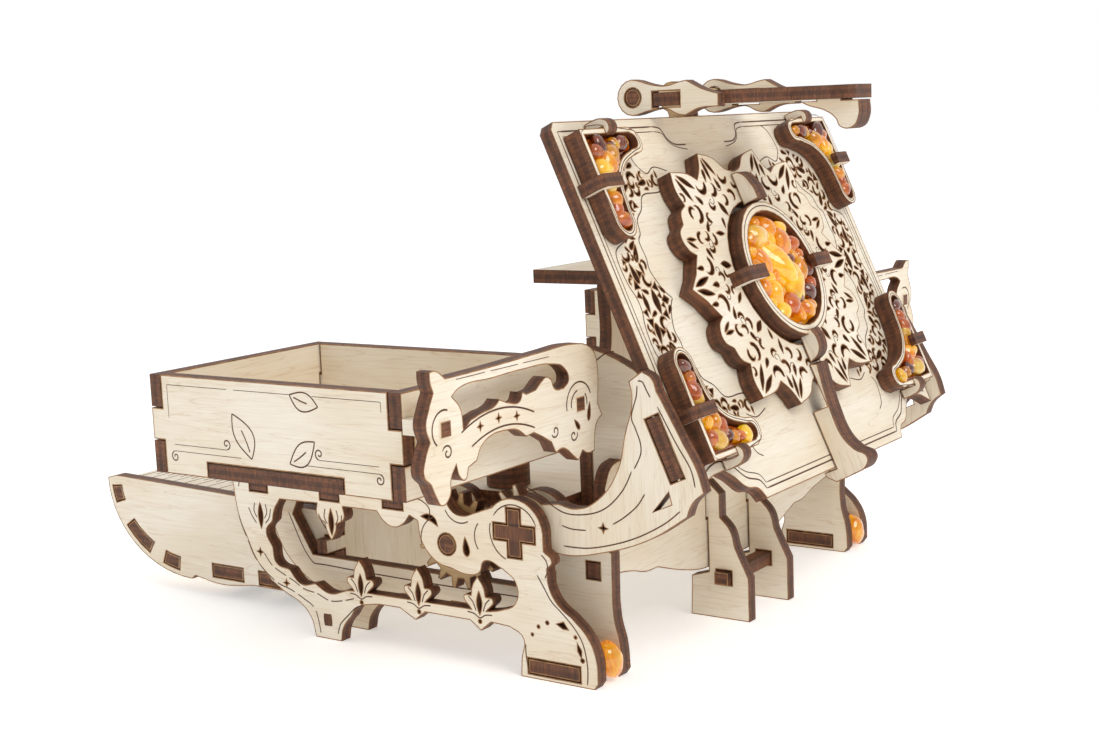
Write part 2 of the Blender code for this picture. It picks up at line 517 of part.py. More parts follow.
arm_bore = circle(0, HUB_Z, 5.8, 20)
arm = solid("arm", [arm_loop, arm_slot, arm_window, arm_bore], PLY, at_y(-ARM_Y))
pair("lid_arm", arm, BIRCH, (0.0, -ARM_Y, HUB_Z))

# rosette ring around the medallion: upper quarter from the centre line, mirrored twice
quarter = [(3.4, 26.4, 1), (7.0, 29.2, 1), (13.0, 30.7), (15.2, 26.8, 1), (17.8, 24.4), (21.0, 26.0, 1),
           (28.0, 26.8), (28.8, 22.4, 1), (27.6, 18.8), (30.4, 17.2, 1), (31.4, 14.6), (34.2, 12.4, 1),
           (33.4, 8.8, 1), (31.0, 7.2), (32.8, 5.2, 1), (34.4, 3.2)]


def rosette_outline():
    def turned(points, sx, sy):
        return [(sx * p[0], MED_V + sy * p[1]) + tuple(p[2:]) for p in points]
    back = quarter[::-1]
    return (turned(quarter, 1, 1) + [(38.5, MED_V)] + turned(back, 1, -1) + [(0.0, MED_V - 25.6)]
            + turned(quarter, -1, -1) + [(-38.5, MED_V)] + turned(back, -1, 1) + [(0.0, MED_V + 25.6)])


rosette = solid("rosette", [rosette_outline(), circle(0, MED_V, 18.0, 32)], 3.6, on_lid(GAP + 1.8), 2)
node("lid_rosette", rosette, BIRCH, LID_PIVOT)
bezel = solid("bezel", [circle(0, MED_V, MED_R, 32), circle(0, MED_V, MED_R - 2.4, 32)], 6.4,
              on_lid(GAP + 3.2))
node("medallion_bezel", bezel, BURNT, LID_PIVOT)
dome_r = MED_R - 2.4 - GAP
dome = lathe([(0, GAP), (dome_r, GAP), (dome_r, 5.4), (dome_r * 0.86, 6.6), (dome_r * 0.5, 7.6),
              (0, 8.0)], 32, 0, 0)
dome.transform(LID_FRAME @ Matrix.Translation((0, MED_V, 0)))
node("medallion_stone", dome, AMBER, LID_PIVOT)

# four corner settings: an open curved frame with its stones inside
corner = [(0.0, 0.0), (18.6, 0.0), (21.6, 1.8, 1), (21.4, 5.2, 1), (17.6, 6.4), (12.0, 8.6, 1),
          (8.4, 12.6, 1), (7.2, 18.6), (6.6, 22.6, 1), (3.4, 24.4, 1), (0.4, 22.4, 1), (0.0, 19.0)]
core = [(1.3, 1.3), (18.5, 1.3), (20.3, 2.5, 1), (20.0, 4.3, 1), (16.9, 5.2), (11.1, 7.5, 1),
        (7.2, 11.9, 1), (6.0, 18.3), (5.5, 21.8, 1), (3.4, 23.0, 1), (1.4, 21.8, 1), (1.3, 19.0)]
gem = [(1.6, 1.6), (18.4, 1.6), (19.9, 2.6, 1), (19.6, 4.0, 1), (16.7, 4.9), (10.8, 7.2, 1),
       (6.9, 11.7, 1), (5.7, 18.1), (5.2, 21.5, 1), (3.4, 22.6, 1), (1.7, 21.5, 1), (1.6, 18.8)]


def placed(points, sx, sy, cx, cy):
    out = [(cx + sx * p[0], cy + sy * p[1]) + tuple(p[2:]) for p in points]
    return out if sx * sy > 0 else out[::-1]


for tag, sy in (("lower", 1), ("upper", -1)):
    cx, cy = -57.4, (5.2 if sy > 0 else 78.6)
    ring = solid("corner", [placed(corner, 1, sy, cx, cy), placed(core, 1, sy, cx, cy)], 4.2,
                 on_lid(GAP + 2.1), 3)
    pair(tag + "_corner_bezel", ring, BURNT, LID_PIVOT)
    gems = solid("gem", [placed(gem, 1, sy, cx, cy)], 3.4, on_lid(GAP + 1.7), 3)
    pair(tag + "_corner_stones", gems, AMBER, LID_PIVOT)

# fins standing on the lid's centre line
low_fin = [(18.0, 4.2), (17.4, 6.0), (12.0, 5.2, 1), (6.0, 4.6, 1), (0.0, 4.8, 1), (-3.6, 6.4, 1),
           (-6.2, 8.6, 1), (-8.2, 7.4, 1), (-8.9, 4.0, 1), (-9.2, -1.0), (-7.4, -3.0), (-6.3, -3.0),
           (-6.3, GAP), (7.6, GAP), (7.6, 4.2)]
node("lower_fin", solid("lfin", [low_fin], 5.4, across_lid(0)), BIRCH, LID_PIVOT)
up_fin = [(MED_V + MED_R + GAP, 4.2), (65.6, 4.2), (65.2, 6.0, 1), (61.6, 8.0, 1),
          (MED_V + MED_R + GAP, 8.4)]
node("upper_fin", solid("ufin", [up_fin], 4.4, across_lid(0)), BIRCH, LID_PIVOT)

# ------------------------------------------------------------------ latch on the lid's free edge
LATCH = (LATCH_X, 0.0, LATCH_Z)
c = LATCH_Z
lug_loop = ([lid_point(71.0, -PLY - GAP), lid_point(LID_L + GAP, -PLY - GAP),
             lid_point(LID_L + GAP, -0.4), lid_point(LID_L + 3.0, 0.2)]
            + arc(LATCH_X, c, 3.6, 20, 250, 10) + [lid_point(81.0, -PLY - 1.8), lid_point(71.6, -PLY - 1.8)])
lug = solid("lug", [lug_loop], 6.0, at_y(0))
rod = solid("rod", [circle(LATCH_X, c, 1.9, 16)], 2 * (LATCH_Y + PLY / 2), at_y(0))
node("latch_lug", combine("lug", lug, rod), BIRCH_DARK, LID_PIVOT)

cheek_pts = (arc(0, 0, 4.1, 70, 290, 10)
             + [(5.4, -2.9, 1), (8.6, -2.8, 1), (12.0, -4.2, 1), (13.6, -4.4), (17.0, -3.0, 1),
                (22.0, -2.7), (22.0, 0.2), (18.0, 1.4, 1), (14.0, 3.4), (12.6, 3.2, 1), (8.6, 2.4, 1),
                (5.0, 2.8, 1)])
tenon = rect(5.4 - GAP, -2.1 - GAP, 12.0 + GAP, 0.9 + GAP)
cheek = solid("latch_cheek", [shifted(cheek_pts, LATCH_X, c), circle(LATCH_X, c, 2.2, 16),
                              shifted(tenon, LATCH_X, c)], PLY, at_y(-LATCH_Y))
pair("latch_cheek", cheek, BIRCH, LATCH)
yi = LATCH_Y - PLY / 2 - GAP
tip = 51.0
x0 = LATCH_X + 5.4
tongue_half = [(tip, 4.2), (tip - 1.4, 5.2), (tip - 5.0, 5.4), (41.0, 8.6, 1), (36.0, 10.4, 1),
               (31.0, 14.6, 1), (27.0, yi), (x0 + 6.6, yi), (x0 + 6.6, LATCH_Y + PLY / 2),
               (x0, LATCH_Y + PLY / 2), (x0, 6.0)]
tongue_loop = tongue_half + [(p[0], -p[1]) + tuple(p[2:]) for p in reversed(tongue_half)]
node("latch_tongue", solid("tongue", [tongue_loop, rect(tip - 10.3, -3.3, tip - 3.7, 3.3)], PLY,
                           at_z(c - 0.6)), BIRCH, LATCH)
hook = [(tip - 10.0, c + 0.9), (tip - 10.0, c - 2.4), (tip - 14.0, c - 2.4), (tip - 12.0, c - 3.4, 1),
        (tip - 8.0, c - 4.6, 1), (tip - 5.4, c - 6.4, 1), (tip - 4.4, c - 8.2, 1), (tip - 1.4, c - 8.4, 1),
        (tip + 0.2, c - 6.0, 1), (tip + 0.2, c - 2.4), (tip - 4.0, c - 2.4), (tip - 4.0, c + 0.9)]
node("latch_hook", solid("hook", [hook], 6.0, at_y(0)), BIRCH, LATCH)
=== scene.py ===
"""Looks for the plywood puzzle box: laser-cut birch pieces, engraving, filigree and amber chips."""
import json
import math
import random
import bpy
import bmesh
from mathutils import Matrix, Vector, noise

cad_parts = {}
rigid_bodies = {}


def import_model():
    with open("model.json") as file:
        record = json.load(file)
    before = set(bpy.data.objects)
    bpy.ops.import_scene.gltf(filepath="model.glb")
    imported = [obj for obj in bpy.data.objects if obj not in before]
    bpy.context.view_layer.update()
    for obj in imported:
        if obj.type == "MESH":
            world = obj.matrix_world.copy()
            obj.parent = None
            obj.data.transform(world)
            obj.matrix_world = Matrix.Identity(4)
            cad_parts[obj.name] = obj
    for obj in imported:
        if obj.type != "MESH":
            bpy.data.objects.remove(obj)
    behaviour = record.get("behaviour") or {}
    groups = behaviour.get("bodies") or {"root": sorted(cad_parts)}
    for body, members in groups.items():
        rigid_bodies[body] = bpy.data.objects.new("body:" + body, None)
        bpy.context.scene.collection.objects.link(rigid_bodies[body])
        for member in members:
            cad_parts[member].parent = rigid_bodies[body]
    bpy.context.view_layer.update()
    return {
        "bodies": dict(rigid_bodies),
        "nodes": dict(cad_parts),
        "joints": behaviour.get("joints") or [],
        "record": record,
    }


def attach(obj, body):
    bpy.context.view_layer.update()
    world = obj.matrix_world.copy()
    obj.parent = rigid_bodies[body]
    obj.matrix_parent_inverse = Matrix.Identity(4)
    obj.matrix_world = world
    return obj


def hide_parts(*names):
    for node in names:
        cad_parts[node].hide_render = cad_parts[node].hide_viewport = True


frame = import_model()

scene = bpy.context.scene
BODY_OF = {n: b for b, ns in frame["record"]["behaviour"]["bodies"].items() for n in ns}
BIRCH, BIRCH_DARK, BURNT, AMBER, AMBER_PALE = "birch", "birch_dark", "burnt", "amber", "amber_pale"


# ------------------------------------------------------------------ materials
def srgb(r, g, b):
    return tuple((c / 255 / 12.92) if c <= 10 else ((c / 255 + 0.055) / 1.055) ** 2.4
                 for c in (r, g, b)) + (1.0,)


class Nodes:
    """Small helper for building a node material."""

    def __init__(self, name, rough, coat=0.0, transmission=0.0, ior=1.5):
        self.m = bpy.data.materials.new(name)
        self.m.use_nodes = True
        self.t = self.m.node_tree
        self.b = self.t.nodes["Principled BSDF"]
        self.b.inputs["Roughness"].default_value = rough
        self.b.inputs["Coat Weight"].default_value = coat
        self.b.inputs["Coat Roughness"].default_value = 0.05
        self.b.inputs["Transmission Weight"].default_value = transmission
        self.b.inputs["IOR"].default_value = ior

    def add(self, kind, **inputs):
        n = self.t.nodes.new(kind)
        for k, v in inputs.items():
            n.inputs[k.replace("_", " ")].default_value = v
        return n

    def link(self, a, out, b, inp):
        self.t.links.new(a.outputs[out], b.inputs[inp])

    def uv(self, sx, sy):
        u = self.t.nodes.new("ShaderNodeUVMap")
        u.uv_map = "grain"
        m = self.add("ShaderNodeMapping")
        m.inputs["Scale"].default_value = (sx, sy, 1.0)
        self.link(u, "UV", m, "Vector")
        return m

    def noise(self, src, out, scale, detail, rough=0.55, distort=0.0):
        n = self.add("ShaderNodeTexNoise", Scale=scale, Detail=detail, Roughness=rough,
                     Distortion=distort)
        self.link(src, out, n, "Vector")
        return n

    def ramp(self, src, out, stops):
        r = self.t.nodes.new("ShaderNodeValToRGB")
        e = r.color_ramp.elements
        while len(e) < len(stops):
            e.new(0.5)
        for k, (p, c) in enumerate(stops):
            e[k].position = p
            e[k].color = c if len(c) == 4 else (*c, 1.0)
        self.link(src, out, r, "Fac")
        return r

    def mix(self, a, b, fac, mode="MIX"):
        m = self.t.nodes.new("ShaderNodeMix")
        m.data_type = "RGBA"
        m.blend_type = mode
        for s, v in ((0, fac), (6, a), (7, b)):
            if isinstance(v, tuple) and isinstance(v[0], bpy.types.Node):
                self.t.links.new(v[0].outputs[v[1]], m.inputs[s])
            else:
                m.inputs[s].default_value = v
        return m

    def bump(self, src, out, strength, distance):
        n = self.add("ShaderNodeBump", Strength=strength, Distance=distance)
        self.link(src, out, n, "Height")
        self.link(n, "Normal", self.b, "Normal")

    def rough(self, src, out, lo, hi):
        r = self.add("ShaderNodeMapRange")
        r.inputs["To Min"].default_value = lo
        r.inputs["To Max"].default_value = hi
        self.link(src, out, r, "Value")
        self.link(r, "Result", self.b, "Roughness")


def wood_face(name, pale, mid, streak):
    n = Nodes(name, 0.6)
    fibre = n.noise(n.uv(0.55, 14.0), "Vector", 2.2, 9, 0.62, 0.3)
    rings = n.noise(n.uv(0.10, 1.5), "Vector", 2.4, 4, 0.5, 0.9)
    cloud = n.noise(n.uv(0.22, 0.5), "Vector", 1.3, 3)
    fine = n.ramp(fibre, "Fac", [(0.36, (0, 0, 0)), (0.66, (1, 1, 1))])
    line = n.ramp(rings, "Fac", [(0.40, (0, 0, 0)), (0.485, (0.15, 0.15, 0.15)),
                                 (0.50, (1, 1, 1)), (0.515, (0.1, 0.1, 0.1)), (0.60, (0, 0, 0))])
    tint = n.ramp(cloud, "Fac", [(0.35, pale), (0.68, mid)])
    a = n.mix((tint, "Color"), streak, 0.0)
    mult = n.add("ShaderNodeMath")
    mult.operation = "MULTIPLY"
    mult.inputs[1].default_value = 0.16
    n.link(fine, "Color", mult, 0)
    n.t.links.new(mult.outputs[0], a.inputs[0])
    mult2 = n.add("ShaderNodeMath")
    mult2.operation = "MULTIPLY"
    mult2.inputs[1].default_value = 0.30
    n.link(line, "Color", mult2, 0)
    b = n.mix((a, 2), streak, (mult2, 0))
    n.t.links.new(b.outputs[2], n.b.inputs["Base Color"])
    n.rough(fibre, "Fac", 0.5, 0.72)
    n.bump(fibre, "Fac", 0.35, 0.00008)
    return n.m


def burnt_edge(name, gain=1.0):
    n = Nodes(name, 0.6)
    u = n.t.nodes.new("ShaderNodeUVMap")
    u.uv_map = "grain"
    sep = n.t.nodes.new("ShaderNodeSeparateXYZ")
    n.link(u, "UV", sep, 0)
    frac = n.add("ShaderNodeMath")
    frac.operation = "FRACT"
    n.link(sep, "Y", frac, 0)
    g = gain
    outer_ply, core = (0.150 * g, 0.060 * g, 0.026 * g), (0.090 * g, 0.035 * g, 0.016 * g)
    dark = (0.030 * g, 0.013 * g, 0.008 * g)
    plies = n.ramp(frac, 0, [(0.0, dark), (0.05, outer_ply), (0.29, outer_ply), (0.36, core),
                             (0.62, core), (0.70, outer_ply), (0.95, outer_ply), (1.0, dark)])
    streak = n.noise(n.uv(5.5, 0.45), "Vector", 3.0, 6, 0.65)
    patch = n.noise(n.uv(0.8, 0.3), "Vector", 2.0, 4, 0.6)
    s = n.ramp(streak, "Fac", [(0.30, (0.30, 0.28, 0.26)), (0.52, (0.95, 0.92, 0.9)),
                               (0.72, (1.9, 1.7, 1.5))])
    p = n.ramp(patch, "Fac", [(0.32, (0.62, 0.58, 0.55)), (0.70, (1.45, 1.35, 1.25))])
    a = n.mix((plies, "Color"), (s, "Color"), 0.85, "MULTIPLY")
    b = n.mix((a, 2), (p, "Color"), 0.9, "MULTIPLY")
    n.t.links.new(b.outputs[2], n.b.inputs["Base Color"])
    n.rough(streak, "Fac", 0.45, 0.8)
    n.bump(streak, "Fac", 0.6, 0.00015)
    return n.m


def engraving(name, c0, c1):
    n = Nodes(name, 0.75)
    k = n.noise(n.uv(1.2, 1.2), "Vector", 3.0, 5)
    r = n.ramp(k, "Fac", [(0.35, c0), (0.68, c1)])
    n.link(r, "Color", n.b, "Base Color")
    n.rough(k, "Fac", 0.6, 0.85)
    n.bump(k, "Fac", 0.4, 0.00005)
    return n.m


def amber(name, c0, c1, c2, trans, painted_glow):
    n = Nodes(name, 0.09, 0.9, trans, 1.54)
    tc = n.t.nodes.new("ShaderNodeTexCoord")
    k = n.noise(tc, "Object", 190.0, 4, 0.55, 1.4)
    v = n.add("ShaderNodeTexVoronoi", Scale=420.0)
    v.feature = "DISTANCE_TO_EDGE"
    n.link(tc, "Object", v, "Vector")
    col = n.ramp(k, "Fac", [(0.30, c0), (0.50, c1), (0.72, c2)])
    flaw = n.ramp(v, "Distance", [(0.0, (1.25, 1.3, 1.5)), (0.06, (1, 1, 1))])
    m = n.mix((col, "Color"), (flaw, "Color"), 0.35, "MULTIPLY")
    n.t.links.new(m.outputs[2], n.b.inputs["Base Color"])
    # painted glow: the chips emit their own colour, standing in for light shining through the amber
    n.t.links.new(m.outputs[2], n.b.inputs["Emission Color"])
    n.b.inputs["Emission Strength"].default_value = painted_glow
    n.rough(k, "Fac", 0.04, 0.16)
    n.bump(k, "Fac", 0.25, 0.0003)
    return n.m


FACE = wood_face("birch_face", srgb(244, 236, 220), srgb(233, 219, 194), srgb(190, 150, 102))
# a darker copy of the birch face, used on the idler gears and the latch lug
FACE_DARK = wood_face("birch_face_darker", srgb(206, 178, 134), srgb(184, 152, 106), srgb(140, 104, 66))
EDGE = burnt_edge("laser_burnt_edge")
CUT = engraving("engraved_line", srgb(104, 64, 36), srgb(66, 38, 22))
SCORCH = engraving("scorched_rim", srgb(176, 130, 84), srgb(122, 82, 48))
GOLD, LEMON, ORANGE, CHERRY, MILKY = range(5)
# the last number of each grade is the strength of its painted glow
AMBERS = [
    amber("amber_gold", srgb(255, 206, 40), srgb(248, 168, 10), srgb(206, 108, 2), 0.55, 0.12),
    amber("amber_lemon", srgb(255, 238, 96), srgb(253, 212, 34), srgb(238, 166, 10), 0.55, 0.18),
    amber("amber_orange", srgb(244, 156, 20), srgb(214, 104, 6), srgb(146, 58, 4), 0.55, 0.09),
    amber("amber_cherry", srgb(178, 84, 14), srgb(112, 44, 6), srgb(58, 20, 6), 0.50, 0.03),
    amber("amber_milky", srgb(250, 230, 140), srgb(242, 200, 80), srgb(222, 154, 34), 0.35, 0.08)]
LOOKS = {BIRCH: [FACE, EDGE, CUT, SCORCH], BIRCH_DARK: [FACE_DARK, EDGE, CUT, SCORCH],
         BURNT: [EDGE, EDGE, CUT, SCORCH], AMBER: AMBERS, AMBER_PALE: AMBERS}


# ------------------------------------------------------------------ driving dimensions (mm)
PLY = 3.0              # sheet thickness
GAP = 0.3              # clearance between touching pieces
HALF_W = 67.5          # centre plane to the outer face of the side frames
CAVITY = 6.6           # space between the outer and inner side plates
SHIFT_X = 46.2         # moves the bounding box centre onto X = 0
HUB_Z = 31.5           # lid axle height
HUB_R = 7.6            # round hub lobe of the side plates
OUT_Y = HALF_W - PLY / 2
INN_Y = HALF_W - PLY - CAVITY - PLY / 2
ARM_Y = 62.1           # mid plane of the lid arms and gears
PIN_X, PIN_Z = -18.4, 27.0
HUB_TEETH, IDLER_TEETH = 14, 16
LID_X, LID_Z = 41.55, 42.23      # bottom edge of the lid's front face
LID_TILT = 114.02                # degrees from +X up to the lid's length
LID_W, LID_L = 120.5, 82.4
DECK_Z = 35.1
RISER_TOP = 84.8
RISER_W = 40.0
TRAY_X0, TRAY_X1 = -62.8, 5.7
TRAY_Y0, TRAY_Y1 = -108.8, -56.9
TRAY_Z0, TRAY_Z1 = 47.6, 68.6
HINGE_X, HINGE_Y = -15.25, 48.05
DRAWER_Y = 52.8
NOSE_X, NOSE_A, NOSE_B = -114.6, 29.9, 24.4
DRAWER_TOP = 28.0
DRAWER_BACK = -63.5
MED_V = 40.8           # medallion centre along the lid
MED_R = 16.6
LATCH_X, LATCH_Z = 3.9, 122.1
LATCH_Y = 18.8

MM = 0.001
LID_FRAME = Matrix((
    (0.0, math.cos(math.radians(LID_TILT)), math.sin(math.radians(LID_TILT)), LID_X),
    (1.0, 0.0, 0.0, 0.0),
    (0.0, math.sin(math.radians(LID_TILT)), -math.cos(math.radians(LID_TILT)), LID_Z),
    (0.0, 0.0, 0.0, 1.0)))

FINE = 7


# ------------------------------------------------------------------ frames (local XY outline, Z thick)
def at_y(y):
    """Outline in X, Z; thickness along Y."""
    return Matrix(((1, 0, 0, 0), (0, 0, -1, y), (0, 1, 0, 0), (0, 0, 0, 1)))


def at_x(x):
    """Outline in Y, Z; thickness along X."""
    return Matrix(((0, 0, 1, x), (1, 0, 0, 0), (0, 1, 0, 0), (0, 0, 0, 1)))


def at_z(z):
    return Matrix.Translation((0, 0, z))


def on_lid(w):
    """Outline in the lid's width and length; thickness out of its front face."""
    return LID_FRAME @ Matrix.Translation((0, 0, w))


def across_lid(y):
    """Outline in the lid's length and height; thickness across its width."""
    local = Matrix(((0, 0, 1, y), (1, 0, 0, 0), (0, 1, 0, 0), (0, 0, 0, 1)))
    return LID_FRAME @ local


# ------------------------------------------------------------------ outline helpers
def arc(cx, cy, r, a0, a1, n, ry=None):
    ry = r if ry is None else ry
    return [(cx + r * math.cos(math.radians(a0 + (a1 - a0) * i / n)),
             cy + ry * math.sin(math.radians(a0 + (a1 - a0) * i / n))) for i in range(n + 1)]


def circle(cx, cy, r, n=24):
    return arc(cx, cy, r, 0, 360, n)[:-1]


def rect(x0, y0, x1, y1):
    return [(x0, y0), (x1, y0), (x1, y1), (x0, y1)]


def mirror_x(points):
    return [(-p[0],) + tuple(p[1:]) for p in reversed(points)]


def shifted(points, dx, dy):
    return [(p[0] + dx, p[1] + dy) + tuple(p[2:]) for p in points]


def plus(cx, cy, arm, half):
    a, h = arm, half
    pts = [(h, h), (h, a), (-h, a), (-h, h), (-a, h), (-a, -h),
           (-h, -h), (-h, -a), (h, -a), (h, -h), (a, -h), (a, h)]
    return [(cx + x, cy + y) for x, y in pts]


def fleur(cx, cy, s=1.0):
    """A three-petal leaf standing on a rail, read from left to right."""
    pts = [(-2.1, -2.2), (-4.0, 0.6, 1), (-2.0, 1.0), (-1.6, 3.0, 1), (0.0, 5.4),
           (1.6, 3.0, 1), (2.0, 1.0), (4.0, 0.6, 1), (2.1, -2.2)]
    return [(cx + s * p[0], cy + s * p[1]) + tuple(p[2:]) for p in pts]


def teeth(cx, cy, pitch_r, count, centre_deg, first, last):
    """Gear teeth first..last (tooth 0 is centred on centre_deg), counter-clockwise."""
    m = 2 * pitch_r / count
    step = 360.0 / count
    ra, rr = pitch_r + 0.78 * m, pitch_r - 1.05 * m
    out = []
    for k in range(first, last + 1):
        a = centre_deg + k * step
        for r, off in ((rr, -0.27), (ra, -0.105), (ra, 0.105), (rr, 0.27)):
            t = math.radians(a + off * step)
            out.append((cx + r * math.cos(t), cy + r * math.sin(t)))
    return out




# ------------------------------------------------------------------ laser work on the sheets
HOLES, LINES = {}, {}
GRAIN_UP = {"stand", "post", "arm", "dback"}
# drawn out along the sheet, so their ends are the cut edges
LENGTHWISE = {"sheet", "tabs", "pegs", "rod", "pin", "bar"}


def between(p, t):
    """Catmull-Rom point at t between the second and third of four points."""
    return tuple(0.5 * (2 * p[1][j] + (p[2][j] - p[0][j]) * t
                        + (2 * p[0][j] - 5 * p[1][j] + 4 * p[2][j] - p[3][j]) * t * t
                        + (3 * p[1][j] - p[0][j] - 3 * p[2][j] + p[3][j]) * t ** 3)
                 for j in (0, 1))


def spline(points, steps=5, closed=False):
    """A smooth line through the points."""
    n = len(points)
    if n < 3:
        return [tuple(p[:2]) for p in points]
    out = []
    span = n if closed else n - 1
    for k in range(span):
        p = [points[(k + d) % n] if closed else points[min(max(k + d, 0), n - 1)] for d in (-1, 0, 1, 2)]
        for s in range(steps):
            t = s / steps
            out.append(between(p, t))
    if not closed:
        out.append(tuple(points[-1][:2]))
    return out


def line(name, *paths, both=False, w=0.29):
    """Engraved lines on the outward face of the named sheet; both mirrors them in x."""
    for p in paths:
        LINES.setdefault(name, []).append((p, w))
        if both:
            LINES[name].append(([(-q[0], q[1]) for q in p], w))


def dashed(name, path, on=4.0, off=1.1, w=0.29, closed=False):
    pts = spline(path, 8, closed)
    acc, cur, gap = 0.0, [pts[0]], False
    for a, b in zip(pts, pts[1:]):
        seg = math.dist(a, b)
        acc += seg
        if not gap:
            cur.append(b)
            if acc > on:
                LINES.setdefault(name, []).append((cur, w))
                cur, gap, acc = [], True, 0.0
        elif acc > off:
            cur, gap, acc = [b], False, 0.0
    if len(cur) > 2:
        LINES.setdefault(name, []).append((cur, w))


def hole(name, *loops):
    for lp in loops:
        HOLES.setdefault(name, []).append(lp)


def drop(cx, cy, length, width, ang, n=12):
    """Teardrop with its point towards ang."""
    c, s = math.cos(math.radians(ang)), math.sin(math.radians(ang))
    out = []
    for k in range(n):
        t = math.tau * k / n
        x = length / 2 * math.cos(t)
        y = width / 2 * math.sin(t) * (math.sin(t / 2) ** 1.2)
        out.append((cx + x * c - y * s, cy + x * s + y * c))
    return out


def almond(cx, cy, length, width, ang):
    c, s = math.cos(math.radians(ang)), math.sin(math.radians(ang))
    pts = [(-0.5, 0), (-0.25, 0.36), (0.05, 0.5), (0.3, 0.3), (0.5, 0), (0.3, -0.3), (0.05, -0.5),
           (-0.25, -0.36)]
    out = []
    for k, (x, y) in enumerate(pts):
        x, y = x * length, y * width
        p = (cx + x * c - y * s, cy + x * s + y * c)
        out.append(p if k in (0, 4) else p + (1,))
    return out


def comma(cx, cy, r, ang, span=190.0, fat=0.42, n=9, flip=1):
    """Curled crescent: thick at its head, thin at its tail."""
    outer, inner = [], []
    for k in range(n):
        t = k / (n - 1)
        a = math.radians(ang + flip * span * t)
        rr = r * (1.0 - 0.25 * t)
        th = r * fat * math.sin(math.pi * min(1.0, 0.12 + t * 0.95)) ** 0.8
        outer.append((cx + rr * math.cos(a), cy + rr * math.sin(a)))
        inner.append((cx + (rr - th) * math.cos(a), cy + (rr - th) * math.sin(a)))
    return outer + inner[::-1]


def star(cx, cy, r):
    out = []
    for k in range(8):
        a = math.radians(45 * k)
        q = r if k % 2 == 0 else r * 0.33
        out.append((cx + q * math.cos(a), cy + q * math.sin(a)))
    return out


def curl(cx, cy, r, ang, turns=1.25, flip=1):
    """Spiral line, from its open end inwards."""
    out = []
    n = int(14 * turns)
    for k in range(n + 1):
        t = k / n
        a = math.radians(ang + flip * 360 * turns * t)
        out.append((cx + r * (1 - 0.82 * t) * math.cos(a), cy + r * (1 - 0.82 * t) * math.sin(a)))
    return out


def dense(loop):
    """Closed outline as points close enough together to measure clearances."""
    pts = []
    n = len(loop)
    for k in range(n):
        p = [loop[(k + d) % n] for d in (-1, 0, 1, 2)]
        soft = len(p[1]) > 2 and len(p[2]) > 2
        steps = max(2, int(math.dist(p[1][:2], p[2][:2]) / 0.35))
        for s in range(steps):
            t = s / steps
            if soft:
                pts.append(between(p, t))
            else:
                pts.append(tuple(p[1][j] + (p[2][j] - p[1][j]) * t for j in (0, 1)))
    return pts


def within(pts, x, y):
    odd = False
    for a, b in zip(pts, pts[1:] + pts[:1]):
        if (a[1] > y) != (b[1] > y) and x < (b[0] - a[0]) * (y - a[1]) / (b[1] - a[1]) + a[0]:
            odd = not odd
    return odd


ROOM = {"rosette": 0.42}


def clear_of(name, loops, cuts, room=0.26):
    """The outlines, and those piercings that stay clear of them and of each other."""
    room = ROOM.get(name, room)
    if not cuts:
        return loops
    grid = {}

    def note(pts):
        for p in pts:
            grid.setdefault((int(p[0] // 1), int(p[1] // 1)), []).append(p)
    outline = dense(loops[0])
    inner = [dense(lp) for lp in loops[1:]]
    for pts in [outline] + inner:
        note(pts)
    keep = []
    for cut in cuts:
        pts = dense(cut)
        ok = True
        for x, y in pts:
            cell = (int(x // 1), int(y // 1))
            near = [q for i in (-1, 0, 1) for j in (-1, 0, 1) for q in grid.get((cell[0] + i, cell[1] + j),
                ())]
            if any(math.dist((x, y), q) < room for q in near) or not within(outline, x, y) \
                    or any(within(w, x, y) for w in inner):
                ok = False
                break
        if ok:
            keep.append(cut)
            note(pts)
    return loops + keep


def ribbon(bm, pts, w, z, sgn, mat):
    n = len(pts)
    left, right = [], []
    for k, p in enumerate(pts):
        a, b = pts[max(k - 1, 0)], pts[min(k + 1, n - 1)]
        dx, dy = b[0] - a[0], b[1] - a[1]
        d = math.hypot(dx, dy) or 1.0
        taper = 0.45 if k in (0, n - 1) else 1.0
        ox, oy = -dy / d * w / 2 * taper, dx / d * w / 2 * taper
        left.append(bm.verts.new((p[0] + ox, p[1] + oy, z)))
        right.append(bm.verts.new((p[0] - ox, p[1] - oy, z)))
    faces = []
    for k in range(n - 1):
        quad = (right[k], right[k + 1], left[k + 1], left[k])
        f = bm.faces.new(quad if sgn > 0 else quad[::-1])
        f.material_index = mat
        faces.append(f)
    return faces


RIM_WIDTH = 0.24       # scorched band beside every cut
RIM_LIFT = 0.012       # how far it stands off the face
ENGRAVE_LIFT = 0.02


def level(f):
    """1 on the outward face, -1 on the back, 0 on a cut edge."""
    zs = [v.co.z for v in f.verts]
    return 0 if max(zs) - min(zs) > 1e-4 else (1 if zs[0] > 0 else -1)


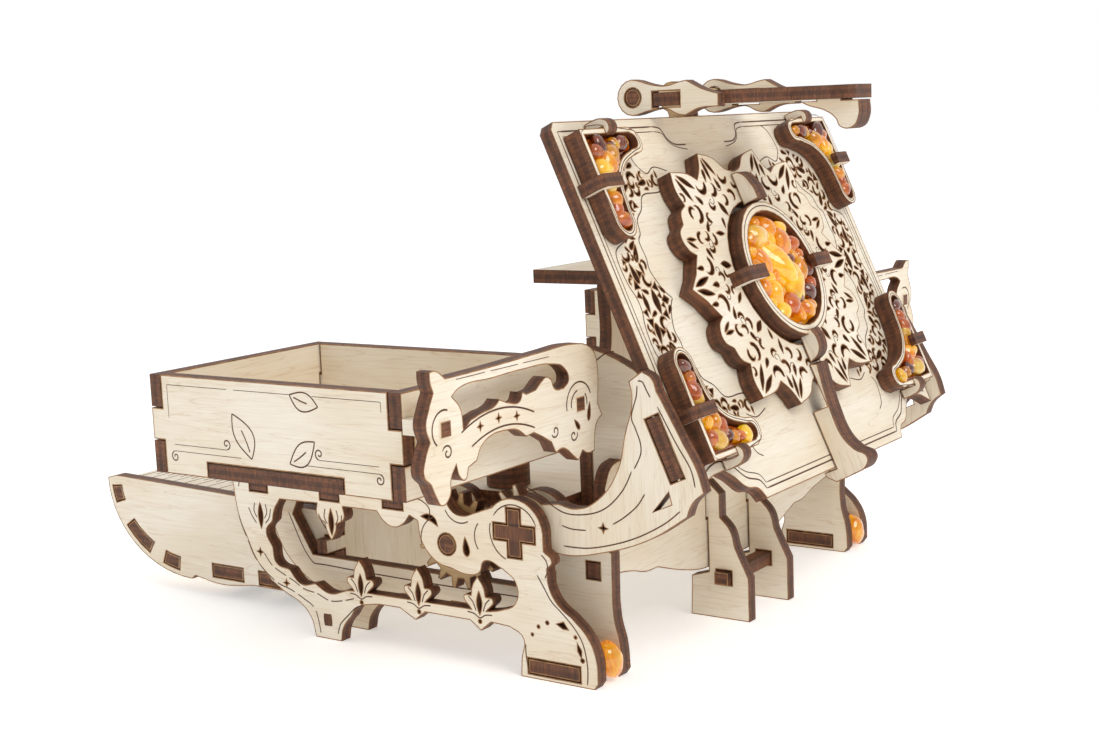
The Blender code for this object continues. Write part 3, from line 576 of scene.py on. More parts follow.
def dress(bm, name, thick):
    """Ply faces, burnt edges, a scorched rim round every cut and the engraved lines."""
    uv = bm.loops.layers.uv.new("grain")
    rng = random.Random(name)
    ox, oy = rng.uniform(0, 40), rng.uniform(0, 40)
    up = name in GRAIN_UP
    plies = max(1, round(thick / 3.0)) if thick < 12 else 1
    body = list(bm.faces)
    rims = []
    for sgn in (1, -1):
        made = {}
        for e in list(bm.edges):
            if len(e.link_faces) != 2:
                continue
            flat = [level(f) == sgn for f in e.link_faces]
            if flat[0] == flat[1]:
                continue
            for v in e.verts:
                if v in made:
                    continue
                ns = [f.normal for f in v.link_faces if level(f) == 0]
                s = sum((q.normalized() for q in ns), Vector()) / max(1, len(ns))
                k = RIM_WIDTH / max(s.length, 0.55)
                inner = v.co - (s.normalized() * k if s.length > 1e-6 else Vector())
                lift = Vector((0, 0, sgn * RIM_LIFT))
                made[v] = (v.co + lift, inner + lift)
            face = e.link_faces[0] if flat[0] else e.link_faces[1]
            a, b = e.verts
            for lp in face.loops:
                if lp.edge == e:
                    a, b = lp.vert, lp.link_loop_next.vert
            rims.append((made[a], made[b], sgn))
    for f in body:
        side = level(f) == 0
        f.material_index = 1 if side != (name in LENGTHWISE) else 0
        for lp in f.loops:
            x, y, z = lp.vert.co
            if side:
                lp[uv].uv = ((x + 1.3 * y) / 10 + ox, (z / thick + 0.5) * plies)
            else:
                lp[uv].uv = (y / 10 + oy, x / 10 + ox) if up else (x / 10 + ox, y / 10 + oy)
            if f.material_index == 0 and side:
                lp[uv].uv = (z / 10 + ox, (x + y) / 10 + oy)
            elif f.material_index == 1 and not side:
                lp[uv].uv = (x / 10 + ox, y / 3 + 0.3)
    extra = []
    for (a, ai), (b, bi), sgn in rims:
        vs = [bm.verts.new(p) for p in (a, b, bi, ai)]
        f = bm.faces.new(vs)
        f.material_index = 3
        extra.append(f)
    for pts, w in LINES.get(name, ()):
        path = pts if len(pts) > 14 else spline(pts, 6)
        extra += ribbon(bm, path, w, thick / 2 + ENGRAVE_LIFT, 1, 2)
    for f in extra:
        for lp in f.loops:
            lp[uv].uv = (lp.vert.co.x / 10, lp.vert.co.y / 10)
    bm.normal_update()
    for f in extra:
        zc = f.calc_center_median().z
        if f.normal.z * zc < 0:
            f.normal_flip()


# ------------------------------------------------------------------ solids
def solid(name, loops, thick, frame):
    """Extrude closed outlines (holes by even-odd), dress them and return a mesh in mm."""
    loops = clear_of(name, list(loops), HOLES.get(name, []))
    cu = bpy.data.curves.new(name, "CURVE")
    cu.dimensions = "2D"
    cu.fill_mode = "BOTH"
    cu.extrude = thick / 2
    cu.resolution_u = FINE
    for loop in loops:
        sp = cu.splines.new("BEZIER")
        sp.bezier_points.add(len(loop) - 1)
        sp.use_cyclic_u = True
        for bp, p in zip(sp.bezier_points, loop):
            kind = "AUTO" if len(p) > 2 else "VECTOR"
            bp.co = (p[0], p[1], 0)
            bp.handle_left_type = kind
            bp.handle_right_type = kind
    ob = bpy.data.objects.new(name + "_outline", cu)
    scene.collection.objects.link(ob)
    bpy.context.view_layer.update()
    dg = bpy.context.evaluated_depsgraph_get()
    me = bpy.data.meshes.new_from_object(ob.evaluated_get(dg))
    bpy.data.objects.remove(ob, do_unlink=True)
    bpy.data.curves.remove(cu)
    bm = bmesh.new()
    bm.from_mesh(me)
    bmesh.ops.remove_doubles(bm, verts=bm.verts, dist=0.0005)
    bmesh.ops.recalc_face_normals(bm, faces=bm.faces)
    bm.normal_update()
    dress(bm, name, thick)
    bm.to_mesh(me)
    bm.free()
    me.transform(frame)
    if frame.to_3x3().determinant() < 0:
        me.flip_normals()
    return me


def lathe(profile, steps, cx, cy, axis="Z"):
    """Turned solid from (radius, height) pairs that start and end on the axis."""
    bm = bmesh.new()
    vs = [bm.verts.new((r, 0, z)) for r, z in profile]
    es = [bm.edges.new((a, b)) for a, b in zip(vs, vs[1:])]
    bmesh.ops.spin(bm, geom=vs + es, cent=(0, 0, 0), axis=(0, 0, 1), angle=math.tau,
                   steps=steps, use_duplicate=False)
    bmesh.ops.remove_doubles(bm, verts=bm.verts, dist=0.0005)
    bmesh.ops.recalc_face_normals(bm, faces=bm.faces)
    uv = bm.loops.layers.uv.new("grain")
    for f in bm.faces:
        for lp in f.loops:
            q = lp.vert.co
            lp[uv].uv = (math.atan2(q.y, q.x), (q.z + 100) / 3)
    me = bpy.data.meshes.new("turned")
    bm.to_mesh(me)
    bm.free()
    if axis == "Y":
        me.transform(Matrix(((1, 0, 0, cx), (0, 0, -1, 0), (0, 1, 0, cy), (0, 0, 0, 1))))
    else:
        me.transform(Matrix.Translation((cx, cy, 0)))
    return me


def combine(name, base, other):
    """Joins two pieces of one glued part."""
    bm = bmesh.new()
    bm.from_mesh(base)
    bm.from_mesh(other)
    me = bpy.data.meshes.new(name)
    bm.to_mesh(me)
    bm.free()
    return me


SHIFT = Matrix.Translation((SHIFT_X, 0, 0))


def node(name, me, look):
    """The finished looks of one CAD node, in metres, riding on its body."""
    for extra in EXTRAS.get(name, ()):
        me = combine(name, me, extra())
    index = [p.material_index for p in me.polygons]
    me.materials.clear()
    me.transform(Matrix.Scale(MM, 4) @ SHIFT)
    me.name = name + "_looks"
    for m in LOOKS[look]:
        me.materials.append(m)
    me.polygons.foreach_set("material_index", index)
    me.shade_smooth()
    me.set_sharp_from_angle(angle=math.radians(32))
    ob = bpy.data.objects.new(name + "_looks", me)
    scene.collection.objects.link(ob)
    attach(ob, BODY_OF[name])
    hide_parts(name)
    return ob


def pair(name, me, look):
    """The near piece and its mirrored far twin."""
    other = me.copy()
    other.transform(Matrix.Scale(-1, 4, (0, 1, 0)))
    other.flip_normals()
    node("near_" + name, me, look)
    node("far_" + name, other, look)


# ------------------------------------------------------------------ engraving and piercings
EXTRAS = {}
KEY_W, FILL_W, WORLD_DIM = 4.5, 0.8, 0.48

# outer side plate
dashed("outer", [(-82.1, 26.9), (-81.2, 24.3), (-79.6, 21.0), (-77.7, 17.2), (-74.6, 14.1), (-70.6, 11.6),
                 (-66.2, 10.4), (-62.4, 8.8), (-59.4, 7.2), (-58.2, 4.6), (-57.6, 1.2)], 5.2, 0.9)
dashed("outer", [(-74.4, 18.4), (-72.0, 15.7), (-68.5, 14.0), (-65.6, 12.9), (-62.0, 11.2), (-58.0, 10.6),
                 (-54.2, 9.4), (-50.2, 9.9), (-46.6, 10.9)], 3.4, 0.9)
line("outer", [(-52.2, 1.6), (-51.2, 4.2), (-48.9, 6.4), (-46.3, 8.7), (-44.0, 9.6)],
     arc(-20.0, 27.4, 5.6, 110, 190, 8), arc(-14.4, 36.6, 4.4, 205, 300, 7),
         arc(-5.8, 29.6, 4.8, 140, 215, 6),
     arc(0, HUB_Z, 6.2, 20, 148, 14), arc(0, HUB_Z, 6.4, 165, 248, 9),
     [(5.6, 23.1), (7.4, 20.3), (9.1, 17.7), (12.4, 14.9), (15.2, 12.0), (16.8, 9.1), (17.6, 4.6),
      (17.4, 0.8)],
     [(6.9, 27.6), (8.1, 26.4), (8.4, 24.4), (7.6, 22.6)],
     [(-42.6, 36.9), (-38.4, 36.9)], [(-33.0, 36.9), (-28.0, 36.8), (-24.6, 36.0), (-22.8, 34.4),
                                      (-23.2, 32.2)],
     [(-68.0, 36.9), (-60.0, 36.9)], [(-58.0, 36.9), (-48.0, 36.9)],
     [(-81.6, 34.0), (-80.6, 36.4), (-77.6, 36.9)],
     [(2.6, 1.0), (1.9, 4.2), (1.8, 7.4)])
hole("outer", star(-75.7, 18.6, 0.95), star(-67.7, 11.9, 0.9), drop(-13.1, 27.0, 4.0, 2.2, 95),
     [(-25.2, 32.6), (-23.4, 33.2, 1), (-21.5, 32.5, 1), (-20.8, 30.9), (-22.3, 31.7, 1), (-24.0, 32.2, 1)],
     [(-16.6, 23.7), (-15.0, 22.1, 1), (-12.2, 21.3, 1), (-9.7, 22.5, 1), (-8.6, 24.7), (-10.8, 23.5, 1),
      (-13.5, 23.1, 1)],
     [(10.2, 13.0), (11.9, 13.6), (13.0, 12.2), (11.7, 12.2)],
     [(15.2, 9.6), (16.2, 8.0), (16.1, 6.6), (15.3, 7.8)])
for k in range(8):
    turn = math.radians(150 - 22 * k)
    hole("outer", circle(9.6 + 6.8 * math.cos(turn), 6.4 + 6.8 * math.sin(turn), 0.24 + 0.05 * (k % 4), 8))
for x, z in ((-44.3, 15.0), (-27.3, 15.2), (-10.2, 15.4)):
    hole("outer", almond(x, z - 0.6, 5.0, 1.3, 90), circle(x, z - 4.7, 0.4, 8))
    line("outer", [(x - 2.9, z + 0.6), (x - 1.7, z - 0.6), (x - 1.0, z - 2.4)],
         [(x + 2.9, z + 0.6), (x + 1.7, z - 0.6), (x + 1.0, z - 2.4)],
         [(x - 3.4, z - 2.9), (x - 1.6, z - 3.1), (x, z - 3.9), (x + 1.6, z - 3.1), (x + 3.4, z - 2.9)])
for x, z in ((-74.8, 27.6), (-52.2, 28.4)):
    hole("outer", almond(x, z, 6.0, 1.4, 90))
    line("outer", [(x - 3.9, z + 1.6), (x - 2.8, z - 0.4), (x - 1.5, z - 2.0)],
         [(x + 3.4, z + 2.0), (x + 2.8, z - 0.2), (x + 1.4, z - 1.8)],
         [(x - 1.7, z + 3.0), (x - 2.1, z + 1.0), (x - 1.2, z - 0.6)],
         [(x + 1.7, z + 3.0), (x + 2.1, z + 1.0), (x + 1.2, z - 0.6)])
line("outer", [(-56.4, 4.6), (-55.1, 4.65), (-53.8, 4.7)], w=2.9)
# inner plate: one contour line inside its window
line("inner", [(-75.0, 26.4), (-69.0, 15.6), (-62.0, 14.4), (-30.0, 14.0), (-2.0, 14.2)], w=0.3)

# lid arm
line("arm", [(0.5, 41.0), (3.9, 39.6), (10.2, 36.3), (16.4, 36.5), (21.2, 38.4), (25.3, 42.4), (27.6, 46.6)],
     [(28.3, 47.2), (29.9, 50.3), (29.9, 52.8), (28.9, 55.5), (28.0, 58.0), (29.3, 62.1), (29.6, 64.4)],
     [(29.8, 65.4), (30.9, 65.2), (31.8, 63.6), (32.6, 62.2)],
     [(9.8, 33.4), (12.4, 32.9), (15.9, 33.0)], [(22.6, 35.0), (25.2, 36.6), (28.6, 39.4), (30.6, 42.2)],
     [(10.0, 29.0), (16.2, 29.2), (23.2, 30.9), (29.2, 33.2), (35.0, 36.4), (38.8, 39.4)],
     [(42.4, 44.6), (41.4, 48.4), (38.2, 53.4), (34.2, 60.4)])
hole("arm", star(20.2, 33.9, 1.0))

# tray long wall: a broken border with curled ends and three leaves, all set out from the wall's own size
def leaf(x, z, size, deg, bend=0.3):
    """Two bowed sides and a midrib, growing from a stalk at x, z."""
    c, s = math.cos(math.radians(deg)), math.sin(math.radians(deg))

    def at(t, off):
        along, across = t * size, off + bend * size * t * t
        return (x + along * c - across * s, z + along * s + across * c)

    sides = [[at(k / 6, q * 0.26 * size * math.sin(math.pi * k / 6)) for k in range(7)] for q in (1, -1)]
    return sides + [[at(0.15 + 0.12 * k, 0.0) for k in range(5)]]


def engrave_wall(x0, x1, z0, z1):
    inset, r = 2.0, 1.2
    a, b, top, low = x0 + 3 + inset, x1 - 3 - inset, z1 - inset, z0 + 3 + inset
    third = (b - a) / 3
    line("tf", [(a, top - 7), (a, top)], [(a, top), (a + third - 2, top)], [(b - third + 2, top), (b, top)],
         [(b, top), (b, top - 2)], [(a + third, top), (b - third - 4, top)])
    for x, q in ((a, 1), (b, -1)):
        end = x + q * (third + 1)
        line("tf", [(x + q * r, low), (end, low)], [(x + q * r, low + 1.4), (end - q * 4, low + 1.4)],
             curl(x + q * r, low - r, r, 90, 1.3, q), curl(end - q * 4, low + 1.4 + r, r, -90, 1.2, q))
    line("tf", *leaf(a + third + 4, low, 10.0, 104, 0.25), *leaf(b - third - 5, low, 8.4, 24, 0.2),
         *leaf(b - third - 4, top, 7.6, -24, 0.15))


engrave_wall(TRAY_X0, TRAY_X1, TRAY_Z0, TRAY_Z1)

# lid face: borders, contour and pierced scroll bands
for k, w in ((0.0, 0.36), (1.2, 0.24)):
    line("lid", [(-1.0, -4.0 + k), (18.0, -4.0 + k), (34.6 - k / 2, -4.0 + k)],
         [(34.6 - k / 2, -4.0 + k), (36.2 - k / 2, -1.8 + k), (40.8 - k / 2, -0.2 + k),
          (44.4 - k / 2, 3.0 + k / 2),
          (48.2 - k / 2, 4.9 + k), (53.0, 4.6 + k), (58.2 - k, 2.6 + k)],
         [(58.2 - k, 2.6 + k), (58.2 - k, 40.0), (58.2 - k, 80.2 - k)],
         [(58.2 - k, 80.2 - k), (40.0, 80.2 - k), (20.6, 80.2 - k)],
         [(20.6, 80.2 - k), (17.6, 79.6 - k), (16.2, 77.0 - k / 2), (13.6, 75.6 - k / 2), (9.0, 75.4 - k)],
         both=True, w=w)
contour = [(-24.0, 66.4), (-28.8, 64.7), (-35.8, 64.4), (-38.8, 61.2), (-42.0, 59.0), (-43.0, 56.0),
           (-44.7, 54.2),
           (-44.6, 50.4), (-45.1, 47.5), (-43.2, 43.2), (-40.9, 40.8)]
line("lid", contour, [(p[0], 2 * MED_V - p[1]) for p in contour], both=True, w=0.3)
edge_line = [(-50.4, 54.6), (-54.6, 53.0), (-55.6, 49.8), (-55.2, 45.4), (-54.2, 42.6), (-54.0, 40.8)]
line("lid", edge_line, [(p[0], 2 * MED_V - p[1]) for p in edge_line], both=True, w=0.3)
frame_line = [(-30.6, 79.0), (-33.0, 77.4), (-34.4, 73.0), (-33.2, 70.8)]
line("lid", frame_line, [(p[0], 2 * MED_V - p[1]) for p in frame_line],
     [(-22.0, 69.4), (-27.0, 70.6), (-30.8, 69.2), (-33.2, 70.8)],
     [(-22.0, 2 * MED_V - 69.4), (-27.0, 2 * MED_V - 70.6), (-30.8, 2 * MED_V - 69.2)], both=True, w=0.28)


def scatter(name, region, count, big, small, seed, kinds="ccdt"):
    """Fills a quadrant of the named sheet with ever smaller scroll piercings, mirrored four ways."""
    rng = random.Random(seed)
    xs, ys = [p[0] for p in region], [p[1] for p in region]
    for k in range(count):
        size = big + (small - big) * (k / count) ** 0.6
        x, y = rng.uniform(min(xs), max(xs)), rng.uniform(min(ys), max(ys))
        if not within(region, x, y):
            continue
        ang, kind = rng.uniform(0, 360), rng.choice(kinds)
        if kind == "c":
            lp = comma(x, y, size * 0.5, ang, 210, 0.52, 9, rng.choice((1, -1)))
        elif kind == "d":
            lp = drop(x, y, size, size * 0.5, ang)
        else:
            lp = [(x + size * 0.42 * math.cos(math.radians(ang + 120 * q)),
                   y + size * 0.42 * math.sin(math.radians(ang + 120 * q))) for q in range(3)]
        if not all(within(region, *p[:2]) for p in lp):
            continue
        for mx in (1, -1):
            for my in (1, -1):
                hole(name, [(mx * p[0], p[1] if my > 0 else 2 * MED_V - p[1]) for p in lp])


band = [(-26.0, 66.9), (-28.8, 65.3), (-35.8, 65.0), (-42.3, 59.6), (-45.2, 54.4), (-45.6, 47.5),
        (-41.6, 41.2),
        (-53.4, 41.2), (-54.6, 45.4), (-55.0, 49.8), (-54.0, 52.4), (-50.8, 54.2), (-50.0, 60.0),
        (-48.6, 66.0),
        (-45.0, 69.8), (-39.6, 72.2), (-35.0, 73.2), (-33.6, 70.4), (-31.0, 68.6), (-27.0, 69.8)]
for s in (1, -1):
    hole("lid", almond(s * 47.4, MED_V, 5.6, 2.0, 90), almond(s * 51.4, MED_V, 4.2, 1.3, 90),
         [(s * 43.6, MED_V - 1.0), (s * 42.4, MED_V), (s * 43.6, MED_V + 1.0), (s * 45.0, MED_V)])
    for w in (1, -1):
        hole("lid", *[[(s * x, MED_V + w * (y - MED_V)) for x, y in lp] for lp in (
            drop(-51.4, 47.6, 4.6, 2.2, 100), drop(-47.8, 51.8, 4.2, 2.0, 60),
                comma(-47.6, 45.6, 1.7, 120, 220, 0.5, 10, 1),
            comma(-52.0, 51.6, 1.5, 20, 220, 0.5, 10, -1), drop(-46.4, 58.0, 4.0, 1.8, 120),
            comma(-44.8, 62.6, 1.8, 200, 220, 0.5, 10, -1), drop(-42.0, 66.4, 4.2, 2.0, 20),
            comma(-38.0, 68.4, 1.8, 10, 220, 0.5, 10, 1), drop(-34.4, 67.2, 3.4, 1.6, 190))])
scatter("lid", band, 1500, 3.2, 1.2, 11)

# rosette: leaves at the tips with commas between them and petals round the medallion
for tx, ty, size in ((28.0, 26.8, 1.0), (13.0, 30.7, 0.8), (38.5, 0.0, 1.0), (33.4, 11.2, 0.55)):
    for mx in (1, -1):
        for my in ((1, -1) if ty else (1,)):
            d = math.atan2(my * ty, mx * tx)
            r = math.hypot(tx, ty)
            c, s = math.cos(d), math.sin(d)
            for q, off in ((1, 1.25), (-1, -1.25)):
                m = r - 5.2 * size
                hole("rosette", almond(m * c - off * size * s, MED_V + m * s + off * size * c, 6.4 * size,
                                       1.25 * size,
                                       math.degrees(d) - 13 * q))
            if size > 0.7:
                m = r - 10.4 * size
                hole("rosette", drop(m * c, MED_V + m * s, 2.6, 1.5, math.degrees(d)))
                for q in (1, -1):
                    m, off = r - 10.2 * size, 4.3 * size * q
                    hole("rosette", comma(m * c - off * s, MED_V + m * s + off * c, 2.4 * size,
                                          math.degrees(d) + 90 * q + 30 * q, 200, 0.46, 10, q))
for k in range(16):
    a = math.radians(11.25 + 22.5 * k)
    if abs(math.cos(a)) < 0.25:
        continue
    rx, ry = 20.9, 20.3
    cx, cy = rx * math.cos(a), MED_V + ry * math.sin(a)
    if k % 2:
        hole("rosette", almond(cx, cy, 3.9, 1.5, math.degrees(a)))
    else:
        hole("rosette", almond(cx, cy, 3.2, 0.9, math.degrees(a) + 28))
for k in range(24):
    a = math.radians(7.5 + 15.0 * k)
    r = 25.4
    if abs(math.cos(a)) < 0.3:
        continue
    q = 1 if k % 2 else -1
    LINES.setdefault("rosette", []).append((curl(r * math.cos(a), MED_V + 0.95 * r * math.sin(a), 1.35,
                                                 math.degrees(a) + 80 * q, 0.9, q), 0.22))

ring = [(0, MED_V), (39, MED_V), (39, MED_V + 32), (0, MED_V + 32)]
scatter("rosette", ring, 170, 3.4, 2.0, 5, "ccd")
line("bezel", arc(0, MED_V, MED_R - 1.1, 0, 360, 48), w=0.26)

# swing-out panel: an arched strap between rings round its two pegs
def arch(a, b, crown, sag, steps=8):
    return [(a + (b - a) * k / steps, crown - sag * (2 * k / steps - 1) ** 2) for k in range(steps + 1)]


def engrave_panel(pegs):
    (ya, za), (yb, zb) = pegs
    span, rail = yb - ya, max(za, zb) + 8.7
    for k in range(3):
        y = ya + 4.2 + k * span * 0.24
        line("panel", [(y, rail), (y + span * 0.2, rail)], w=0.36)
    upper, lower = arch(ya + 5, yb - 16, za + 1.0, 2.6), arch(ya + 8, yb - 16, za - 2.6, 2.2)
    line("panel", upper, lower, arc(ya, za, 3.6, 70, 230, 10), curl(ya + 0.6, za - 4.6, 1.6, 160, 1.2, -1),
         arc(yb, zb, 4.6, 20, 190, 12), arc(yb, zb, 2.9, 100, 190, 6), arc(yb, zb, 2.9, -10, 40, 4),
         curl(yb - 9.0, zb - 4.2, 1.4, 200, 1.1, 1), curl(yb - 2.4, zb - 6.2, 1.4, 20, 1.1, -1), w=0.36)
    for k in (2, 4, 6):
        hole("panel", star(upper[k][0], (upper[k][1] + lower[k][1]) / 2, 0.8))
    hole("panel", drop(yb + 3.6, zb - 2.2, 3.6, 1.4, 80), drop(yb - 1.0, zb - 4.2, 2.6, 1.2, 130))


# guide cheek and drawer marks
line("cheek", [(9.0, 66.0), (12.0, 68.0), (14.0, 68.4)])
x = -140.0
row = 0
SLATS = []
while x < -88.0:
    y = -49.5 + (6.0 if row % 2 else 0.0)
    while y < 46.0:
        SLATS.append((x, y, y + 9.4))
        y += 12.0
    x += 2.3
    row += 1


def slat_cuts():
    """Kerf lines of the living hinge on the drawer's sheet."""
    bm = bmesh.new()
    uv = bm.loops.layers.uv.new("grain")
    for x, y0, y1 in SLATS:
        y1 = min(y1, 50.5)
        vs = [bm.verts.new(p) for p in ((x - 0.2, y0, 27.22), (x + 0.2, y0, 27.22),
                                        (x + 0.2, y1, 27.22), (x - 0.2, y1, 27.22))]
        f = bm.faces.new(vs)
        f.material_index = 2
    k = 0
    for deg in range(196, 262, 4):
        a = math.radians(deg)
        x = NOSE_X + (NOSE_A - INSET + 0.02) * math.cos(a)
        z = DRAWER_TOP + (NOSE_B - INSET + 0.02) * math.sin(a)
        tx, tz = -math.sin(a) * NOSE_A, math.cos(a) * NOSE_B
        d = math.hypot(tx, tz)
        tx, tz = tx / d * 0.13, tz / d * 0.13
        y = -49.5 + (6.0 if k % 2 else 0.0)
        while y < 46.0:
            y1 = min(y + 9.4, 50.5)
            vs = [bm.verts.new(p) for p in ((x - tx, y, z - tz), (x + tx, y, z + tz),
                                            (x + tx, y1, z + tz), (x - tx, y1, z - tz))]
            bm.faces.new(vs).material_index = 2
            y += 12.0
        k += 1
    for f in bm.faces:
        for lp in f.loops:
            lp[uv].uv = (lp.vert.co.x / 10, lp.vert.co.y / 10)
    me = bpy.data.meshes.new("slats")
    bm.to_mesh(me)
    bm.free()
    return me


EXTRAS["drawer_sheet"] = [slat_cuts]


# clips over the settings
def across(v):
    """Outline in the lid's width and height; thickness along its length."""
    local = Matrix(((1, 0, 0, 0), (0, 0, -1, v), (0, 1, 0, 0), (0, 0, 0, 1)))
    return LID_FRAME @ local


def bridge(name, a, b, top, v, s=1, thick=3.0):
    """Hooked clip from a (outside) to b (inside), standing on the lid."""
    lp = [(s * a, 0.3), (s * a, top - 1.8), (s * (a - 1.2 if a > b else a + 1.2), top), (s * b, top),
          (s * b, top - 1.6), (s * (b + 3.4), top - 1.7), (s * (b + 3.4), 0.3)]
    return solid(name, [lp], thick, across(v))


EXTRAS["medallion_bezel"] = [lambda s=s: bridge("clip", 21.4, 12.2, 8.6, MED_V, s, 3.2) for s in (1, -1)]
for tag, v, far in (("lower", 15.7, 5.2), ("upper", 66.4, 78.6)):
    up = 1 if tag == "upper" else -1
    tab = [(far - up * 1.6, 4.5), (far - up * 1.2, 5.5, 1), (far + up * 0.6, 6.0, 1),
           (far + up * 2.0, 4.9, 1),
           (far + up * 2.6, 2.6, 1), (far + up * 2.6, 0.3), (far + up * 0.3, 0.3), (far + up * 0.3, 4.5)]
    for side, s in (("near", -1), ("far", 1)):
        EXTRAS["%s_%s_corner_bezel" % (side, tag)] = [
            lambda s=s, v=v: bridge("cclip", 59.4, 51.6, 6.4, v, s, 2.8),
            lambda s=s, tab=tab: solid("ctab", [tab], 3.0, across_lid(s * 46.5))]
lower_tab = [(25.4, 4.3), (25.4, 7.6), (22.6, 8.2, 1), (19.6, 7.2, 1), (18.2, 4.3)]
EXTRAS["lower_fin"] = [lambda: solid("mtab", [lower_tab], 4.0, across_lid(0))]


# amber chips
def pebbles(spots, seed, place):
    rng = random.Random(seed)
    bm = bmesh.new()
    uv = bm.loops.layers.uv.new("grain")
    for x, y, z, rx, ry, rz, mat in spots:
        got = bmesh.ops.create_icosphere(bm, subdivisions=3, radius=1.0)["verts"]
        turn = Matrix.Rotation(rng.uniform(0, math.tau), 4, "Z") @ Matrix.Rotation(rng.uniform(-0.35, 0.35),
            4, "X")
        off = Vector((rng.uniform(0, 90), rng.uniform(0, 90), rng.uniform(0, 90)))
        for v in got:
            p = v.co.copy()
            k = 1.0 + 0.20 * noise.noise(p * 1.1 + off) + 0.05 * noise.noise(p * 3.0 + off)
            v.co = Vector((x, y, z)) + turn @ Vector((p.x * rx * k, p.y * ry * k, p.z * rz * k))
        for v in got:
            for f in v.link_faces:
                f.material_index = mat
    for f in bm.faces:
        for lp in f.loops:
            lp[uv].uv = (lp.vert.co.x / 10, lp.vert.co.y / 10)
    me = bpy.data.meshes.new("chips")
    bm.to_mesh(me)
    bm.free()
    me.transform(place)
    return me


def medallion_chips():
    rng = random.Random(7)
    spots = [(-5.0, 8.8, 5.6, 2.8, 3.8, 2.2, 4), (-1.6, 2.4, 5.8, 3.6, 6.4, 2.4, 1),
             (2.4, -3.2, 5.8, 3.4, 5.2, 2.4, 1),
             (-7.4, 2.6, 5.4, 3.0, 4.0, 2.2, 0), (-2.6, -8.6, 5.6, 3.2, 2.8, 2.2, 2),
             (4.6, 6.0, 5.6, 3.2, 3.8, 2.2, 0),
             (1.0, 10.4, 5.4, 3.0, 2.4, 2.0, 0), (7.8, -1.0, 5.4, 2.6, 3.4, 2.2, 0),
             (-7.4, -5.0, 5.4, 2.8, 3.2, 2.2, 1),
             (3.6, -10.4, 5.4, 3.0, 2.4, 2.2, 0), (9.4, 5.6, 5.2, 2.2, 2.8, 2.0, 2),
             (8.4, -6.6, 5.2, 2.4, 2.8, 2.0, 3)]
    tries = 0
    while tries < 1600:
        tries += 1
        a, r = rng.uniform(0, math.tau), 12.4 * math.sqrt(rng.uniform(0, 1))
        x, y = r * math.cos(a), r * math.sin(a)
        rad = rng.uniform(1.4, 2.3)
        if any(math.hypot(x - s[0], y - s[1]) < 0.78 * (rad + min(s[3], s[4])) for s in spots):
            continue
        pick = rng.random()
        if x > 2 and y < 4:
            mat = CHERRY if pick < 0.4 else ORANGE if pick < 0.6 else GOLD
        else:
            mat = LEMON if pick < 0.35 else MILKY if pick < 0.5 else GOLD
        spots.append((x, y, rng.uniform(5.2, 5.8), rad, rad * rng.uniform(0.85, 1.3), rad * 0.8, mat))
    place = LID_FRAME @ Matrix.Translation((0, MED_V, 0))
    bed = lathe([(0, 0.4), (13.8, 0.4), (13.8, 4.6), (9.0, 5.0), (0, 5.2)], 40, 0, 0)
    for p in bed.polygons:
        p.material_index = 0
    bed.transform(place)
    return combine("med", pebbles(spots, 3, place), bed)


def corner_chips(sy, cx, cy, seed):
    rng = random.Random(seed)
    path = spline([(3.5, 20.2), (3.6, 15.0), (4.0, 10.6), (5.0, 6.4), (9.4, 4.3), (14.0, 3.4), (17.6, 3.0)],
                  12)
    spots, last = [], None
    for p in path:
        if last and math.dist(p, last) < 2.2:
            continue
        last = p
        wide = 2.2 if 4.5 < p[0] < 8 else (1.9 if p[0] <= 4.5 else 1.6)
        for q in ((-1, 1) if 4.4 < p[0] < 9 else (0,)):
            rad = wide * rng.uniform(0.85, 1.15)
            x, y = p[0] + q * 1.3 + rng.uniform(-0.3, 0.3), p[1] + q * 1.3 + rng.uniform(-0.3, 0.3)
            mat = rng.choice((GOLD, GOLD, LEMON, ORANGE, ORANGE, GOLD, MILKY, CHERRY))
            spots.append((cx + x, cy + sy * y, 3.5 + rng.uniform(-0.2, 0.4), rad,
                          rad * rng.uniform(0.9, 1.35),
                          rad * 0.85, mat))
    bed = solid("chipbed", [placed(gem, 1, sy, cx, cy)], 2.3, on_lid(GAP + 1.1))
    for p in bed.polygons:
        p.material_index = 2
    return combine("corner", pebbles(spots, seed, LID_FRAME), bed)



# ------------------------------------------------------------------ side frames
FOOT_REAR = [(0.3, 0.0), (19.2, 0.0), (20.2, 1.4), (19.8, 7.2, 1), (17.6, 11.6, 1), (14.2, 14.8),
             (10.6, 17.4, 1), (8.6, 20.8, 1), (8.2, 24.6), (9.6, 26.4, 1), (7.6, 28.4)]
HUB_TOP = arc(0, HUB_Z, HUB_R, -8, 138, 12)
TOP_EDGE = [(-10.4, 34.9), (-13.8, 33.9, 1), (-16.4, 34.6, 1), (-18.6, 37.0, 1), (-23.0, 38.4, 1),
            (-27.0, 38.8), (-80.5, 38.8), (-83.2, 36.2, 1)]
FRONT_EDGE = [(-83.2, 33.0, 1), (-81.9, 26.0, 1), (-80.0, 22.0), (-77.2, 16.6, 1), (-72.6, 11.9),
              (-68.0, 9.4, 1), (-63.6, 7.6, 1), (-60.4, 4.4, 1), (-59.2, 0.0), (-51.2, 0.0),
              (-50.2, 3.6, 1), (-47.6, 6.6), (-46.0, 8.6, 1), (-41.0, 10.2, 1), (-33.0, 10.6),
              (-28.4, 8.4), (-25.6, 10.6), (-13.0, 10.6), (-10.0, 8.6), (-7.2, 10.9),
              (-2.2, 10.6), (1.2, 8.6, 1), (0.6, 4.0, 1)]
SIDE_OUTLINE = FOOT_REAR + HUB_TOP + TOP_EDGE + FRONT_EDGE

